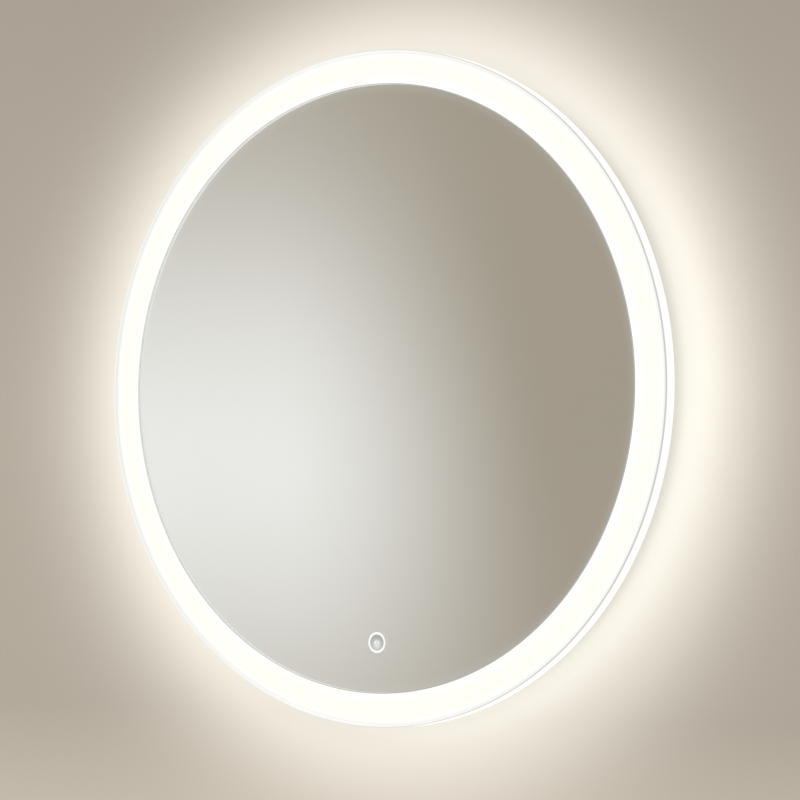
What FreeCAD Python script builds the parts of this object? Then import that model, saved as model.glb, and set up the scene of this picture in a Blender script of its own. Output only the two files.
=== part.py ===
"""Round lighted wall mirror: glass disc on a glowing band, metal chassis with halo light, hook on the wall.

Row frame: X to the right, Z up, the wall is the plane Y = 0 and the room is on the -Y side.
The origin is the middle of the two fixing slots of the wall bracket.
"Out" is a distance from the wall towards the room, so Y = -out. Places on the mirror are given from its centre.
"""
import FreeCAD
import Part
import math
import os

Vector = FreeCAD.Vector

# Overall sizes, millimetres
rim_diameter = 600.0
band_width = 30.0               # glowing band seen outside the glass
unit_depth = 44.0               # wall to the face of the glass
bracket_rise = 150.0            # fixing slots above the centre of the mirror

# Mirror glass
glass_thickness = 4.0
glass_arris = 0.8
silver_thickness = 0.3
silver_inset = 0.2              # the silver stops just short of the ground edge
tape_length = 90.0
tape_width = 18.0
tape_thickness = 1.0
tape_count = 8
tape_edge_gap = 40.0            # edge of the glass to the middle of a tape

# Touch switch
touch_edge_gap = 45.0           # lower edge of the glass to the middle of the ring
touch_ring_diameter = 18.8
touch_ring_width = 2.0
touch_dot_diameter = 4.4
touch_lens_margin = 1.2
touch_lens_thickness = 2.2
sensor_width = 46.0
sensor_height = 34.0
sensor_depth = 17.7
sensor_wall = 1.5
sensor_board_thickness = 1.2
sensor_board_gap = 0.8          # from the board to the ring lens, room for the indicator lights
indicator_count = 4
indicator_size = 2.0
indicator_height = 0.6
sensor_plug_width = 28.0
sensor_plug_height = 22.0

# Glowing band and its side wall
band_thickness = 3.0
band_lap = 12.0                 # the part of the band that lies under the glass
rim_wall = 1.5
rim_step = 2.2                  # the side wall is this much thicker below the band
rim_proud = 2.5                 # the side wall stands in front of the band
rim_seam = 0.3
rim_depth = 13.7
rim_overhang = 1.5              # the side wall ends behind the tray's floor, which it is pressed on

# Reflector tray
tray_thickness = 1.2
tray_wall_inset = 1.0           # inside edge of the band to the tray's wall

# Light strips
strip_thickness = 0.3
front_strip_width = 4.0
rear_strip_width = 10.0
led_length = 3.5
led_width = 2.8
led_height = 0.8
front_led_count = 40
rear_led_count = 40

# Chassis ring, a rolled channel with both flanges inwards
chassis_inset = 26.0            # outside of the side wall to the wall that carries the rear strip
chassis_height = 17.0
chassis_wall = 1.5
chassis_flange = 1.4
chassis_shelf = 15.0            # front flange inside the tray's wall, for the standoffs
chassis_rear_lap = 16.0         # rear flange, inwards
halo_channel_depth = 7.0        # from the chassis wall out to the edge of the back cover
halo_wall = 1.5
halo_inset = 0.5

# Carrier plate behind the glass
carrier_thickness = 1.2
carrier_edge_gap = 1.5
carrier_sides = 16
carrier_window_inner = 62.0
carrier_window_margin = 68.0    # inside edge of the band to the windows
carrier_window_count = 4
carrier_spoke_width = 44.0
carrier_corner = 10.0
carrier_bead_length = 84.0
carrier_bead_width = 8.0
carrier_bead_height = 1.2
standoff_count = 6
standoff_across_flats = 7.0
standoff_inset = 6.0            # edge of the chassis flange to the standoff

# Back cover
cover_thickness = 1.0
cover_screw_count = 6
vent_length = 34.0
vent_width = 3.0
vent_pitch = 8.0
vent_count = 5
vent_bank_spread = 150.0
vent_bank_height = -60.0

# Wall bracket and hanger
bracket_width = 240.0
hanger_width = 200.0
plate_thickness = 2.0
bracket_leaf_below = 14.0
bracket_leaf_above = 14.0
hook_height = 14.0              # the hook's leaf above its step
hook_stand_off = 6.0            # room behind the bracket's upper leaf
hook_gap = 0.6                  # between the two hooks, wall to room
seat_gap = 0.3                  # between the hanger and the bracket's upper edge
hanger_tail = 44.0
slot_spacing = 160.0
slot_length = 14.0
slot_width = 5.5
bend_radius = 1.5

# Wall bumpers
bumper_radius = 9.0
bumper_tip_radius = 7.5
bumper_edge_gap = 66.0          # edge of the cover to the middle of a bumper
bumper_angles = (-60.0, -120.0)

# Power supply
driver_x = 0.0
driver_z = -60.0
driver_length = 150.0
driver_height = 44.0
driver_depth = 21.0
driver_wall = 2.0
driver_ear = 9.0
driver_board_margin = 1.0
driver_board_thickness = 1.6
driver_board_stand = 4.0
transformer_size = 30.0
transformer_depth = 10.0
core_width = 24.0
winding_width = 18.0
winding_depth = 8.5
capacitor_radius = 6.0
capacitor_depth = 9.8
film_length = 13.0
film_width = 6.0
driver_terminal_length = 10.0
driver_terminal_height = 24.0
driver_terminal_depth = 9.0

# Junction box
junction_x = 0.0
junction_z = 45.0
junction_length = 84.0
junction_height = 46.0
junction_depth = 21.0
junction_wall = 2.0
terminal_poles = 3
terminal_pitch = 10.0
terminal_height = 20.0
terminal_depth = 14.0
terminal_rib_width = 1.5
terminal_face_depth = 9.8       # the face with the screws, below the ribs
clamp_width = 8.0
clamp_length = 24.0
clamp_thickness = 2.5
lid_lip = 1.2
lid_gap = 0.2

# Cable entry
entry_x = -85.0
entry_radius = 4.0
entry_level = 8.0               # middle of the cable above the cover's inner face
grommet_radius = 8.0
grommet_neck_radius = 6.0
grommet_collar = 1.5

# Flat two-core leads inside the housing; they stand on edge, so that they bend over their thin side
mains_lead_width = 5.4
mains_lead_thickness = 3.4
mains_lead_bend = 24.0
mains_lead_reach = 21.0         # end of the power supply to the lead's upright run
light_lead_width = 3.2
light_lead_thickness = 1.6
light_lead_bend = 14.0
supply_lead_reach = 33.0
supply_lead_bend = 20.0
lead_hole_gap = 0.25
clip_length = 9.0
clip_wall = 2.0
clip_gap = 0.1

# Earth connection
earth_x = -8.0
earth_drop = 36.0               # from the junction box up to the earth screw
earth_lead_size = 2.2
earth_level = 4.0               # middle of the lead above the cover's inner face
earth_tag_width = 9.0
earth_tag_thickness = 0.8
earth_barrel_wall = 0.8
earth_barrel_length = 8.0

# Screws: widths are over the flats, their threads are left out
screw_width = 4.0
screw_head_width = 7.0
screw_head_height = 2.2
screw_length = 6.0
screw_gap = 0.05
small_screw_width = 2.8
small_screw_head_width = 5.0
small_screw_head_height = 1.6
small_screw_length = 5.0
hanger_screw_drop = 9.0
hanger_screw_spread = 160.0

# Planes, as distances out from the wall
glass_back = unit_depth - glass_thickness
silver_back = glass_back - silver_thickness
band_face = silver_back
band_back = band_face - band_thickness
rim_front = band_face + rim_proud
rim_back = rim_front - rim_depth
chassis_front = rim_back + rim_overhang
tray_floor = chassis_front + tray_thickness
chassis_back = chassis_front - chassis_height
cover_back = chassis_back - cover_thickness
carrier_front = silver_back - tape_thickness
carrier_back = carrier_front - carrier_thickness
sensor_back = silver_back - sensor_depth
sensor_board_front = silver_back - touch_lens_thickness - sensor_board_gap
sensor_board_back = sensor_board_front - sensor_board_thickness
driver_front = chassis_back + driver_depth
driver_board_front = chassis_back + driver_wall + driver_board_stand + driver_board_thickness
junction_front = chassis_back + junction_depth

# Radii from the mirror's axis
rim_radius = rim_diameter / 2
glass_radius = rim_radius - band_width
band_radius = rim_radius - rim_wall - rim_seam
band_inner_radius = glass_radius - band_lap
tray_wall_radius = band_inner_radius + tray_wall_inset
front_strip_radius = tray_wall_radius + tray_thickness
chassis_radius = rim_radius - chassis_inset
cover_radius = chassis_radius + halo_channel_depth
chassis_front_inner = tray_wall_radius - chassis_shelf
chassis_rear_inner = chassis_radius - chassis_rear_lap
cover_screw_circle = (chassis_rear_inner + chassis_radius - chassis_wall) / 2
carrier_flats_radius = (band_inner_radius - carrier_edge_gap) * math.cos(math.pi / carrier_sides)
carrier_window_outer = band_inner_radius - carrier_window_margin
standoff_circle = chassis_front_inner + standoff_inset
tape_circle = glass_radius - tape_edge_gap
bumper_circle = cover_radius - bumper_edge_gap
touch_drop = glass_radius - touch_edge_gap      # below the centre of the mirror

# Levels of the leads, out from the wall
mains_lead_level = driver_board_front + mains_lead_width / 2 + lead_hole_gap
light_lead_level = sensor_back + sensor_wall + light_lead_width / 2 + lead_hole_gap
front_lead_level = tray_floor + front_strip_width / 2 + lead_hole_gap
rear_strip_level = light_lead_level - (rear_strip_width - light_lead_width) / 2
mains_lead_x = driver_x + driver_length / 2 + mains_lead_reach
supply_lead_x = driver_x - driver_length / 2 - supply_lead_reach
supply_entry_z = -touch_drop + 7.0
strip_exit_z = -touch_drop - 4.0
lead_turn_margin = 8.0
earth_screw_z = junction_z + junction_height / 2 + earth_drop


def place(x, out, z):
    """A point given from the mirror's centre and out from the wall."""
    return Vector(x, -out, z - bracket_rise)


def on_circle(radius, degrees):
    """Across and up from the centre, at an angle from the right, turning upwards."""
    angle = math.radians(degrees)
    return radius * math.cos(angle), radius * math.sin(angle)


def turned(profile, x=0.0, z=0.0):
    """A profile of (radius, out) pairs, turned round an axis square to the wall."""
    corners = [place(x + radius, out, z) for radius, out in profile]
    face = Part.Face(Part.makePolygon(corners + corners[:1]))
    return face.revolve(place(x, 0, z), Vector(0, 1, 0), 360)


def disc(radius, back, front, x=0.0, z=0.0):
    return Part.makeCylinder(radius, front - back, place(x, back, z), Vector(0, -1, 0))


def block(x, z, width, height, back, front):
    """A box centred on x and z, from back to front."""
    corner = place(x - width / 2, front, z - height / 2)
    return Part.makeBox(width, front - back, height, corner)


def rounded_block(x, z, width, height, back, front, corner):
    """A box whose four edges square to the wall are rounded."""
    box = block(x, z, width, height, back, front)
    return box.makeFillet(corner, edges_along(box, Vector(0, 1, 0)))


def edges_along(shape, direction):
    found = []
    for edge in shape.Edges:
        if not isinstance(edge.Curve, Part.Line):
            continue
        run = edge.Vertexes[1].Point - edge.Vertexes[0].Point
        if run.cross(direction).Length < 1e-6:
            found.append(edge)
    return found


def turned_about_centre(shape, degrees):
    """A copy turned round the mirror's axis, from the right upwards."""
    copy = shape.copy()
    copy.rotate(place(0, 0, 0), Vector(0, -1, 0), degrees)
    return copy


def pattern(shape, count, first=0.0):
    """Equal copies round the mirror's axis."""
    return [turned_about_centre(shape, first + 360.0 * i / count) for i in range(count)]


def hexagon(across_flats, back, front, x, z):
    corner = across_flats / math.sqrt(3)
    around = [on_circle(corner, 60 * i) for i in range(7)]
    outline = Part.makePolygon([place(x + dx, back, z + dz) for dx, dz in around])
    return Part.Face(outline).extrude(Vector(0, back - front, 0))


def screw(x, z, seat, head_side, width, head_width, head_height, length):
    """Hexagon screw: head_side is 1 for a head towards the room and -1 towards the wall."""
    head_end = seat + head_side * head_height
    tip = seat - head_side * length
    shank = hexagon(width, min(tip, seat), max(tip, seat), x, z)
    head = hexagon(head_width, min(head_end, seat), max(head_end, seat), x, z)
    return shank.fuse(head)


def screw_hole(width, back, front, x, z):
    return hexagon(width + 2 * screw_gap, back, front, x, z)


def large_screw(x, z, seat, head_side):
    return screw(x, z, seat, head_side, screw_width, screw_head_width, screw_head_height, screw_length)


def small_screw(x, z, seat, head_side):
    return screw(x, z, seat, head_side, small_screw_width, small_screw_head_width,
                 small_screw_head_height, small_screw_length)


def lead_section(start, towards, width, thickness):
    """The lead's cross-section at start: its width is square to the wall."""
    side = (towards - start).cross(Vector(0, 1, 0)).normalize() * (thickness / 2)
    out = Vector(0, width / 2, 0)
    corners = [start - side - out, start + side - out, start + side + out, start - side + out]
    return Part.makePolygon(corners + corners[:1])


def lead(points, width, thickness, bend, name):
    """A flat lead along straight runs joined by tangent arcs; prints its length, bend and volume."""
    edges = []
    start = points[0]
    for before, corner, after in zip(points, points[1:], points[2:]):
        back_way = (before - corner).normalize()
        on_way = (after - corner).normalize()
        half = back_way.getAngle(on_way) / 2
        middle_way = (back_way + on_way).normalize()
        centre = corner + middle_way * (bend / math.sin(half))
        arc_start = corner + back_way * (bend / math.tan(half))
        arc_end = corner + on_way * (bend / math.tan(half))
        edges.append(Part.LineSegment(start, arc_start).toShape())
        edges.append(Part.Arc(arc_start, centre - middle_way * bend, arc_end).toShape())
        start = arc_end
    edges.append(Part.LineSegment(start, points[-1]).toShape())
    path = Part.Wire(edges)
    strip = path.makePipeShell([lead_section(points[0], points[1], width, thickness)], True, False)
    expected = path.Length * width * thickness
    print(f"{name}: {path.Length:.1f} mm long, bend radius {bend:.1f} mm, volume {strip.Volume / expected:.5f}")
    return strip


def lead_hole(start, end, width, thickness):
    """The slot that a straight run of a lead needs in what it passes through."""
    section = lead_section(start, end, width + 2 * lead_hole_gap, thickness + 2 * lead_hole_gap)
    return Part.Face(section).extrude(end - start)


def light_lead_hole(start, end):
    return lead_hole(start, end, light_lead_width, light_lead_thickness)


def mains_lead_hole(start, end):
    return lead_hole(start, end, mains_lead_width, mains_lead_thickness)


# Mirror -----------------------------------------------------------------------------------------

def mirror_glass():
    arris = glass_arris
    profile = [
        (0, glass_back),
        (glass_radius, glass_back),
        (glass_radius, unit_depth - arris),
        (glass_radius - arris, unit_depth),
        (0, unit_depth),
    ]
    return turned(profile)


def touch_windows(back, front):
    """The ring and the dot that the touch switch shines through."""
    outer = touch_ring_diameter / 2
    ring = disc(outer, back, front, 0, -touch_drop).cut(
        disc(outer - touch_ring_width, back, front, 0, -touch_drop))
    return [ring, disc(touch_dot_diameter / 2, back, front, 0, -touch_drop)]


def mirror_silvering():
    layer = disc(glass_radius - silver_inset, silver_back, glass_back)
    return layer.cut(touch_windows(silver_back, glass_back))


def mirror_tapes():
    strip = block(tape_circle, 0, tape_width, tape_length, carrier_front, silver_back)
    return Part.makeCompound(pattern(strip, tape_count, 180.0 / tape_count))


# Touch switch -----------------------------------------------------------------------------------

def touch_ring_lens():
    radius = touch_ring_diameter / 2 + touch_lens_margin
    return disc(radius, silver_back - touch_lens_thickness, silver_back, 0, -touch_drop)


def sensor_lead_holes():
    outside = sensor_width
    return [
        light_lead_hole(place(-outside, light_lead_level, supply_entry_z), place(0, light_lead_level, supply_entry_z)),
        light_lead_hole(place(-outside, light_lead_level, strip_exit_z), place(0, light_lead_level, strip_exit_z)),
        light_lead_hole(place(outside, front_lead_level, strip_exit_z), place(0, front_lead_level, strip_exit_z)),
    ]


def sensor_housing():
    outside = rounded_block(0, -touch_drop, sensor_width, sensor_height, sensor_back, silver_back, 2 * sensor_wall)
    inside = block(0, -touch_drop, sensor_width - 2 * sensor_wall, sensor_height - 2 * sensor_wall,
                   sensor_back + sensor_wall, silver_back)
    shell = outside.cut([inside] + sensor_lead_holes())
    across = sensor_width / 2 - 1.5 * sensor_wall
    up = sensor_height / 2 - 1.5 * sensor_wall
    posts = [block(x, -touch_drop + z, sensor_wall, sensor_wall, sensor_back + sensor_wall, sensor_board_back)
             for x in (-across, across) for z in (-up, up)]
    return shell.fuse(posts).removeSplitter()


def sensor_board():
    gap = sensor_wall + lid_gap
    return block(0, -touch_drop, sensor_width - 2 * gap, sensor_height - 2 * gap,
                 sensor_board_back, sensor_board_front)


def sensor_plug():
    return block(0, -touch_drop, sensor_plug_width, sensor_plug_height,
                 sensor_back + sensor_wall, sensor_board_back)


def touch_indicator_lights():
    radius = (touch_ring_diameter - touch_ring_width) / 2
    lights = []
    for i in range(indicator_count):
        dx, dz = on_circle(radius, 45 + 360.0 * i / indicator_count)
        lights.append(block(dx, dz - touch_drop, indicator_size, indicator_size,
                            sensor_board_front, sensor_board_front + indicator_height))
    return Part.makeCompound(lights)


# Light ring -------------------------------------------------------------------------------------

def front_diffuser():
    return turned([
        (band_inner_radius, band_back), (band_radius, band_back),
        (band_radius, band_face), (band_inner_radius, band_face),
    ])


def light_rim():
    """Opal side wall; the band rests on its step and the tray closes it from behind."""
    inner = rim_radius - rim_wall
    stepped = inner - rim_step
    return turned([
        (stepped, rim_back), (rim_radius, rim_back), (rim_radius, rim_front), (inner, rim_front),
        (inner, band_back), (stepped, band_back),
    ])


def lead_turn_radius():
    """Where the strips' leads turn outwards, from the mirror's axis."""
    return abs(strip_exit_z) + lead_turn_margin


def lead_turn_angle():
    """How far below the horizontal the strips' leads turn outwards."""
    return math.degrees(math.asin(abs(strip_exit_z) / lead_turn_radius()))


def strip_lead_end(level, strip_radius, side):
    """The turn and the end of a strip's lead; side is 1 to the right and -1 to the left."""
    turn_x, turn_z = on_circle(lead_turn_radius(), -lead_turn_angle())
    end_x, end_z = on_circle(strip_radius, -lead_turn_angle())
    return place(side * turn_x, level, turn_z), place(side * end_x, level, end_z)


def reflector_tray():
    outer = rim_radius - rim_wall - rim_step
    inner = tray_wall_radius
    tray = turned([
        (inner, chassis_front), (outer, chassis_front), (outer, tray_floor),
        (front_strip_radius, tray_floor), (front_strip_radius, band_back), (inner, band_back),
    ])
    return tray.cut(light_lead_hole(*strip_lead_end(front_lead_level, front_strip_radius, 1)))


def regular_face(inner_radius, sides, out):
    """A regular polygon round the mirror's axis with a side square to the right."""
    corner = inner_radius / math.cos(math.pi / sides)
    around = [on_circle(corner, 360.0 * (i + 0.5) / sides) for i in range(sides)]
    points = [place(x, out, z) for x, z in around]
    return Part.Face(Part.makePolygon(points + points[:1]))


def light_strip(radius, middle, width, chips):
    """Flexible strip wrapped round a wall, flat under each chip."""
    back = middle - width / 2
    outer = regular_face(radius + strip_thickness, chips, back)
    return outer.cut(regular_face(radius, chips, back)).extrude(Vector(0, -width, 0))


def light_chips(radius, middle, count):
    inner = radius + strip_thickness
    chip = block(inner + led_height / 2, 0, led_height, led_length, middle - led_width / 2, middle + led_width / 2)
    return Part.makeCompound(pattern(chip, count))


# Chassis ----------------------------------------------------------------------------------------

def chassis_ring():
    rear_face = chassis_back + chassis_flange
    front_face = chassis_front - chassis_flange
    wall_inside = chassis_radius - chassis_wall
    ring = turned([
        (chassis_front_inner, chassis_front), (chassis_radius, chassis_front),
        (chassis_radius, chassis_back), (chassis_rear_inner, chassis_back),
        (chassis_rear_inner, rear_face), (wall_inside, rear_face),
        (wall_inside, front_face), (chassis_front_inner, front_face),
    ])
    hole = screw_hole(screw_width, chassis_back, rear_face, cover_screw_circle, 0)
    passage = light_lead_hole(*strip_lead_end(light_lead_level, chassis_radius, -1))
    return ring.cut(pattern(hole, cover_screw_count) + [passage])


def halo_diffuser():
    """Opal cover of the halo light, between the back cover's edge and the reflector tray."""
    outer = cover_radius - halo_inset
    inner = outer - halo_wall
    return turned([(inner, chassis_back), (outer, chassis_back), (outer, chassis_front), (inner, chassis_front)])


def carrier_window():
    """One of the openings between the carrier's spokes, centred on the right."""
    half_spoke = carrier_spoke_width / 2
    turn = 180.0 / carrier_window_count
    inner_edge = turn - math.degrees(math.asin(half_spoke / carrier_window_inner))
    outer_edge = turn - math.degrees(math.asin(half_spoke / carrier_window_outer))
    around = [
        on_circle(carrier_window_inner, -inner_edge), on_circle(carrier_window_outer, -outer_edge),
        on_circle(carrier_window_outer, 0),
        on_circle(carrier_window_outer, outer_edge), on_circle(carrier_window_inner, inner_edge),
    ]
    points = [place(x, carrier_back, z) for x, z in around]
    prism = Part.Face(Part.makePolygon(points + points[:1])).extrude(Vector(0, -carrier_thickness, 0))
    return prism.makeChamfer(carrier_corner, edges_along(prism, Vector(0, 1, 0)))


def carrier_plate():
    """Pressed plate with spokes and ribs, cut as a regular polygon inside the glowing band."""
    plate = regular_face(carrier_flats_radius, carrier_sides, carrier_back).extrude(Vector(0, -carrier_thickness, 0))
    windows = pattern(carrier_window(), carrier_window_count)
    opening = block(0, -touch_drop, sensor_width + 2 * sensor_wall, sensor_height + 2 * sensor_wall,
                    carrier_back, carrier_front)
    bead_middle = (carrier_window_inner + carrier_window_outer) / 2
    bead = block(bead_middle, 0, carrier_bead_length, carrier_bead_width,
                 carrier_back - carrier_bead_height, carrier_back)
    beads = pattern(bead, carrier_window_count, 180.0 / carrier_window_count)
    return plate.cut(windows + [opening]).fuse(beads).removeSplitter()


def carrier_standoffs():
    post = hexagon(standoff_across_flats, chassis_front, carrier_back, standoff_circle, 0)
    return Part.makeCompound(pattern(post, standoff_count))


def vent_slots():
    slots = []
    for side in (-1, 1):
        for i in range(vent_count):
            z = vent_bank_height + (i - (vent_count - 1) / 2) * vent_pitch
            slots.append(block(side * vent_bank_spread, z, vent_length, vent_width, cover_back, chassis_back))
    return slots


def back_cover():
    plate = disc(cover_radius, cover_back, chassis_back)
    holes = pattern(screw_hole(screw_width, cover_back, chassis_back, cover_screw_circle, 0), cover_screw_count)
    holes.append(disc(grommet_neck_radius, cover_back, chassis_back, entry_x, junction_z))
    for x, z in hanger_screw_places() + [(earth_x, earth_screw_z)]:
        holes.append(screw_hole(screw_width, cover_back, chassis_back, x, z))
    for x, z in driver_screw_places() + junction_screw_places():
        holes.append(screw_hole(small_screw_width, cover_back, chassis_back, x, z))
    return plate.cut(holes + vent_slots())


def cover_screws():
    one = large_screw(cover_screw_circle, 0, cover_back, -1)
    return Part.makeCompound(pattern(one, cover_screw_count))


# Hanging ----------------------------------------------------------------------------------------

def bent_plate(outline, width, bends):
    """A strip of sheet with its outline given as (out, up) from the fixing slots; bends are corners to round."""
    corners = [Vector(-width / 2, -out, up) for out, up in outline]
    plate = Part.Face(Part.makePolygon(corners + corners[:1])).extrude(Vector(width, 0, 0))
    along = edges_along(plate, Vector(1, 0, 0))
    for radius, places in bends:
        chosen = []
        for edge in along:
            point = edge.Vertexes[0].Point
            if any(abs(-point.y - out) < 1e-6 and abs(point.z - up) < 1e-6 for out, up in places):
                chosen.append((point.y, point.z))
        edges = [e for e in edges_along(plate, Vector(1, 0, 0))
                 if any(abs(e.Vertexes[0].Point.y - y) < 1e-6 and abs(e.Vertexes[0].Point.z - z) < 1e-6
                        for y, z in chosen)]
        plate = plate.makeFillet(radius, edges)
    return plate


def wall_bracket():
    t = plate_thickness
    step = bracket_leaf_above
    top = step + hook_height
    front = hook_stand_off + t
    outline = [(0, -bracket_leaf_below), (t, -bracket_leaf_below), (t, step - t), (front, step - t),
               (front, top), (hook_stand_off, top), (hook_stand_off, step), (0, step)]
    bends = [(bend_radius + t, [(0, step), (front, step - t)]),
             (bend_radius, [(t, step - t), (hook_stand_off, step)])]
    plate = bent_plate(outline, bracket_width, bends)
    slots = []
    for side in (-1, 1):
        middle = side * slot_spacing / 2
        straight = slot_length - slot_width
        slot = Part.makeBox(straight, t, slot_width, Vector(middle - straight / 2, -t, -slot_width / 2))
        slots.append(slot)
        for end in (-1, 1):
            slots.append(Part.makeCylinder(slot_width / 2, t, Vector(middle + end * straight / 2, 0, 0),
                                           Vector(0, -1, 0)))
    return plate.cut(slots)


def hanger_hook_out():
    """Room-side face of the hanger's hook, out from the wall."""
    return hook_stand_off - hook_gap


def hanger_bracket():
    t = plate_thickness
    hook_front = hanger_hook_out()
    hook_back = hook_front - t
    seat = bracket_leaf_above + hook_height + seat_gap
    hook_bottom = bracket_leaf_above + 2 * seat_gap
    leaf_front = cover_back
    leaf_back = cover_back - t
    top = seat + t
    bottom = top - hanger_tail
    outline = [(hook_back, hook_bottom), (hook_front, hook_bottom), (hook_front, seat), (leaf_back, seat),
               (leaf_back, bottom), (leaf_front, bottom), (leaf_front, top), (hook_back, top)]
    inside = min(bend_radius, (leaf_back - hook_front) / 3)
    bends = [(inside + t, [(hook_back, top), (leaf_front, top)]),
             (inside, [(hook_front, seat), (leaf_back, seat)])]
    plate = bent_plate(outline, hanger_width, bends)
    holes = [screw_hole(screw_width, leaf_back, leaf_front, x, z) for x, z in hanger_screw_places()]
    return plate.cut(holes)


def hanger_screw_places():
    z = bracket_rise - hanger_screw_drop
    return [(side * hanger_screw_spread / 2, z) for side in (-1, 1)]


def hanger_screws():
    seat = cover_back - plate_thickness
    return Part.makeCompound([large_screw(x, z, seat, -1) for x, z in hanger_screw_places()])


def wall_bumpers():
    """Rubber feet stuck on the cover, which keep the mirror parallel to the wall."""
    feet = [turned([(0, 0), (bumper_tip_radius, 0), (bumper_radius, cover_back), (0, cover_back)], x, z)
            for x, z in (on_circle(bumper_circle, angle) for angle in bumper_angles)]
    return Part.makeCompound(feet)


# Housings ---------------------------------------------------------------------------------------

def open_box(x, z, length, height, front, wall):
    """A moulded base: floor on the back cover, walls up to the lid."""
    outside = rounded_block(x, z, length, height, chassis_back, front, wall)
    inside = block(x, z, length - 2 * wall, height - 2 * wall, chassis_back + wall, front)
    return outside.cut(inside)


def box_lid(x, z, length, height, front, wall):
    """The lid of a base that ends at front, with a lip that drops inside its walls."""
    plate = rounded_block(x, z, length, height, front, front + wall, wall)
    lip_length = length - 2 * wall - 2 * lid_gap
    lip_height = height - 2 * wall - 2 * lid_gap
    lip = block(x, z, lip_length, lip_height, front - lid_lip, front)
    hollow = block(x, z, lip_length - 2 * wall, lip_height - 2 * wall, front - lid_lip, front)
    return plate.fuse(lip.cut(hollow)).removeSplitter()


def driver_screw_places():
    reach = (driver_length + driver_ear) / 2
    return [(driver_x + side * reach, driver_z + side * driver_height / 4) for side in (-1, 1)]


def driver_base():
    front = driver_front - driver_wall
    box = open_box(driver_x, driver_z, driver_length, driver_height, front, driver_wall)
    ears = [block(x - math.copysign(driver_wall / 2, x), z, driver_ear + driver_wall, driver_ear,
                  chassis_back, chassis_back + driver_wall) for x, z in driver_screw_places()]
    posts = []
    for side in (-1, 1):
        for up in (-1, 1):
            x = driver_x + side * (driver_length / 2 - 2 * driver_wall)
            z = driver_z + up * (driver_height / 2 - 2 * driver_wall)
            posts.append(block(x, z, 2 * driver_wall, 2 * driver_wall, chassis_back + driver_wall / 2,
                               driver_board_front - driver_board_thickness))
    holes = [screw_hole(small_screw_width, chassis_back, chassis_back + driver_wall, x, z)
             for x, z in driver_screw_places()]
    holes.append(mains_lead_hole(place(driver_x, mains_lead_level, driver_z),
                                 place(driver_x + driver_length, mains_lead_level, driver_z)))
    holes.append(light_lead_hole(place(driver_x, light_lead_level, driver_z),
                                 place(driver_x - driver_length, light_lead_level, driver_z)))
    return box.fuse(ears + posts).removeSplitter().cut(holes)


def driver_lid():
    return box_lid(driver_x, driver_z, driver_length, driver_height, driver_front - driver_wall, driver_wall)


def driver_board():
    margin = driver_wall + driver_board_margin
    return block(driver_x, driver_z, driver_length - 2 * margin, driver_height - 2 * margin,
                 driver_board_front - driver_board_thickness, driver_board_front)


def driver_transformer():
    """Ferrite core with its winding bobbin showing at both sides."""
    core = block(driver_x, driver_z, transformer_size, core_width, driver_board_front,
                 driver_board_front + transformer_depth)
    winding = block(driver_x, driver_z, winding_width, transformer_size, driver_board_front,
                    driver_board_front + winding_depth)
    return core.fuse(winding).removeSplitter()


def driver_capacitors():
    """The filter's film capacitor beside the output's round one."""
    x = driver_x + transformer_size / 2 + 1.5 * capacitor_radius
    spread = 1.2 * capacitor_radius
    front = driver_board_front + capacitor_depth
    round_one = disc(capacitor_radius, driver_board_front, front, x, driver_z - spread)
    film_one = block(x, driver_z + spread, film_length, film_width, driver_board_front, front)
    return Part.makeCompound([round_one, film_one])


def driver_terminal_x(side):
    """Middle of the terminal block at one end of the board."""
    return driver_x + side * (driver_length / 2 - driver_wall - driver_board_margin - driver_terminal_length / 2 - 2)


def driver_terminals():
    return Part.makeCompound([
        block(driver_terminal_x(side), driver_z, driver_terminal_length, driver_terminal_height,
              driver_board_front, driver_board_front + driver_terminal_depth) for side in (-1, 1)])


def driver_screws():
    seat = chassis_back + driver_wall
    return Part.makeCompound([small_screw(x, z, seat, 1) for x, z in driver_screw_places()])


def junction_screw_places():
    reach = junction_height / 2 - 4 * junction_wall
    return [(junction_x + side * (junction_length / 2 - 4 * junction_wall), junction_z + side * reach)
            for side in (-1, 1)]


def junction_base():
    front = junction_front - junction_wall
    box = open_box(junction_x, junction_z, junction_length, junction_height, front, junction_wall)
    holes = [screw_hole(small_screw_width, chassis_back, chassis_back + junction_wall, x, z)
             for x, z in junction_screw_places()]
    holes.append(mains_lead_hole(place(junction_x, mains_lead_level, junction_z),
                                 place(junction_x + junction_length, mains_lead_level, junction_z)))
    level = chassis_back + entry_level
    holes.append(Part.makeCylinder(entry_radius, junction_length / 2,
                                   place(junction_x - junction_length / 4, level, junction_z), Vector(-1, 0, 0)))
    holes.append(lead_hole(place(earth_x, chassis_back + earth_level, junction_z),
                           place(earth_x, chassis_back + earth_level, junction_z + junction_height),
                           earth_lead_size, earth_lead_size))
    saddle = block(clamp_x(), junction_z, clamp_width, clamp_length, chassis_back + junction_wall / 2,
                   level - entry_radius)
    return box.fuse(saddle).removeSplitter().cut(holes)


def clamp_x():
    return junction_x - junction_length / 2 + junction_wall + clamp_width


def cord_clamp():
    """The bar that presses the mains cable on its saddle."""
    level = chassis_back + entry_level
    ends = level - entry_radius
    top = level + entry_radius + clamp_thickness
    bar = block(clamp_x(), junction_z, clamp_width, clamp_length, ends, top)
    tunnel = block(clamp_x(), junction_z, clamp_width, 2 * entry_radius, ends, level + entry_radius)
    holes = [screw_hole(small_screw_width, ends, top, clamp_x(), z) for z in clamp_screw_heights()]
    return bar.cut([tunnel] + holes)


def clamp_screw_heights():
    reach = (clamp_length / 2 + entry_radius) / 2
    return [junction_z - reach, junction_z + reach]


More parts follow.
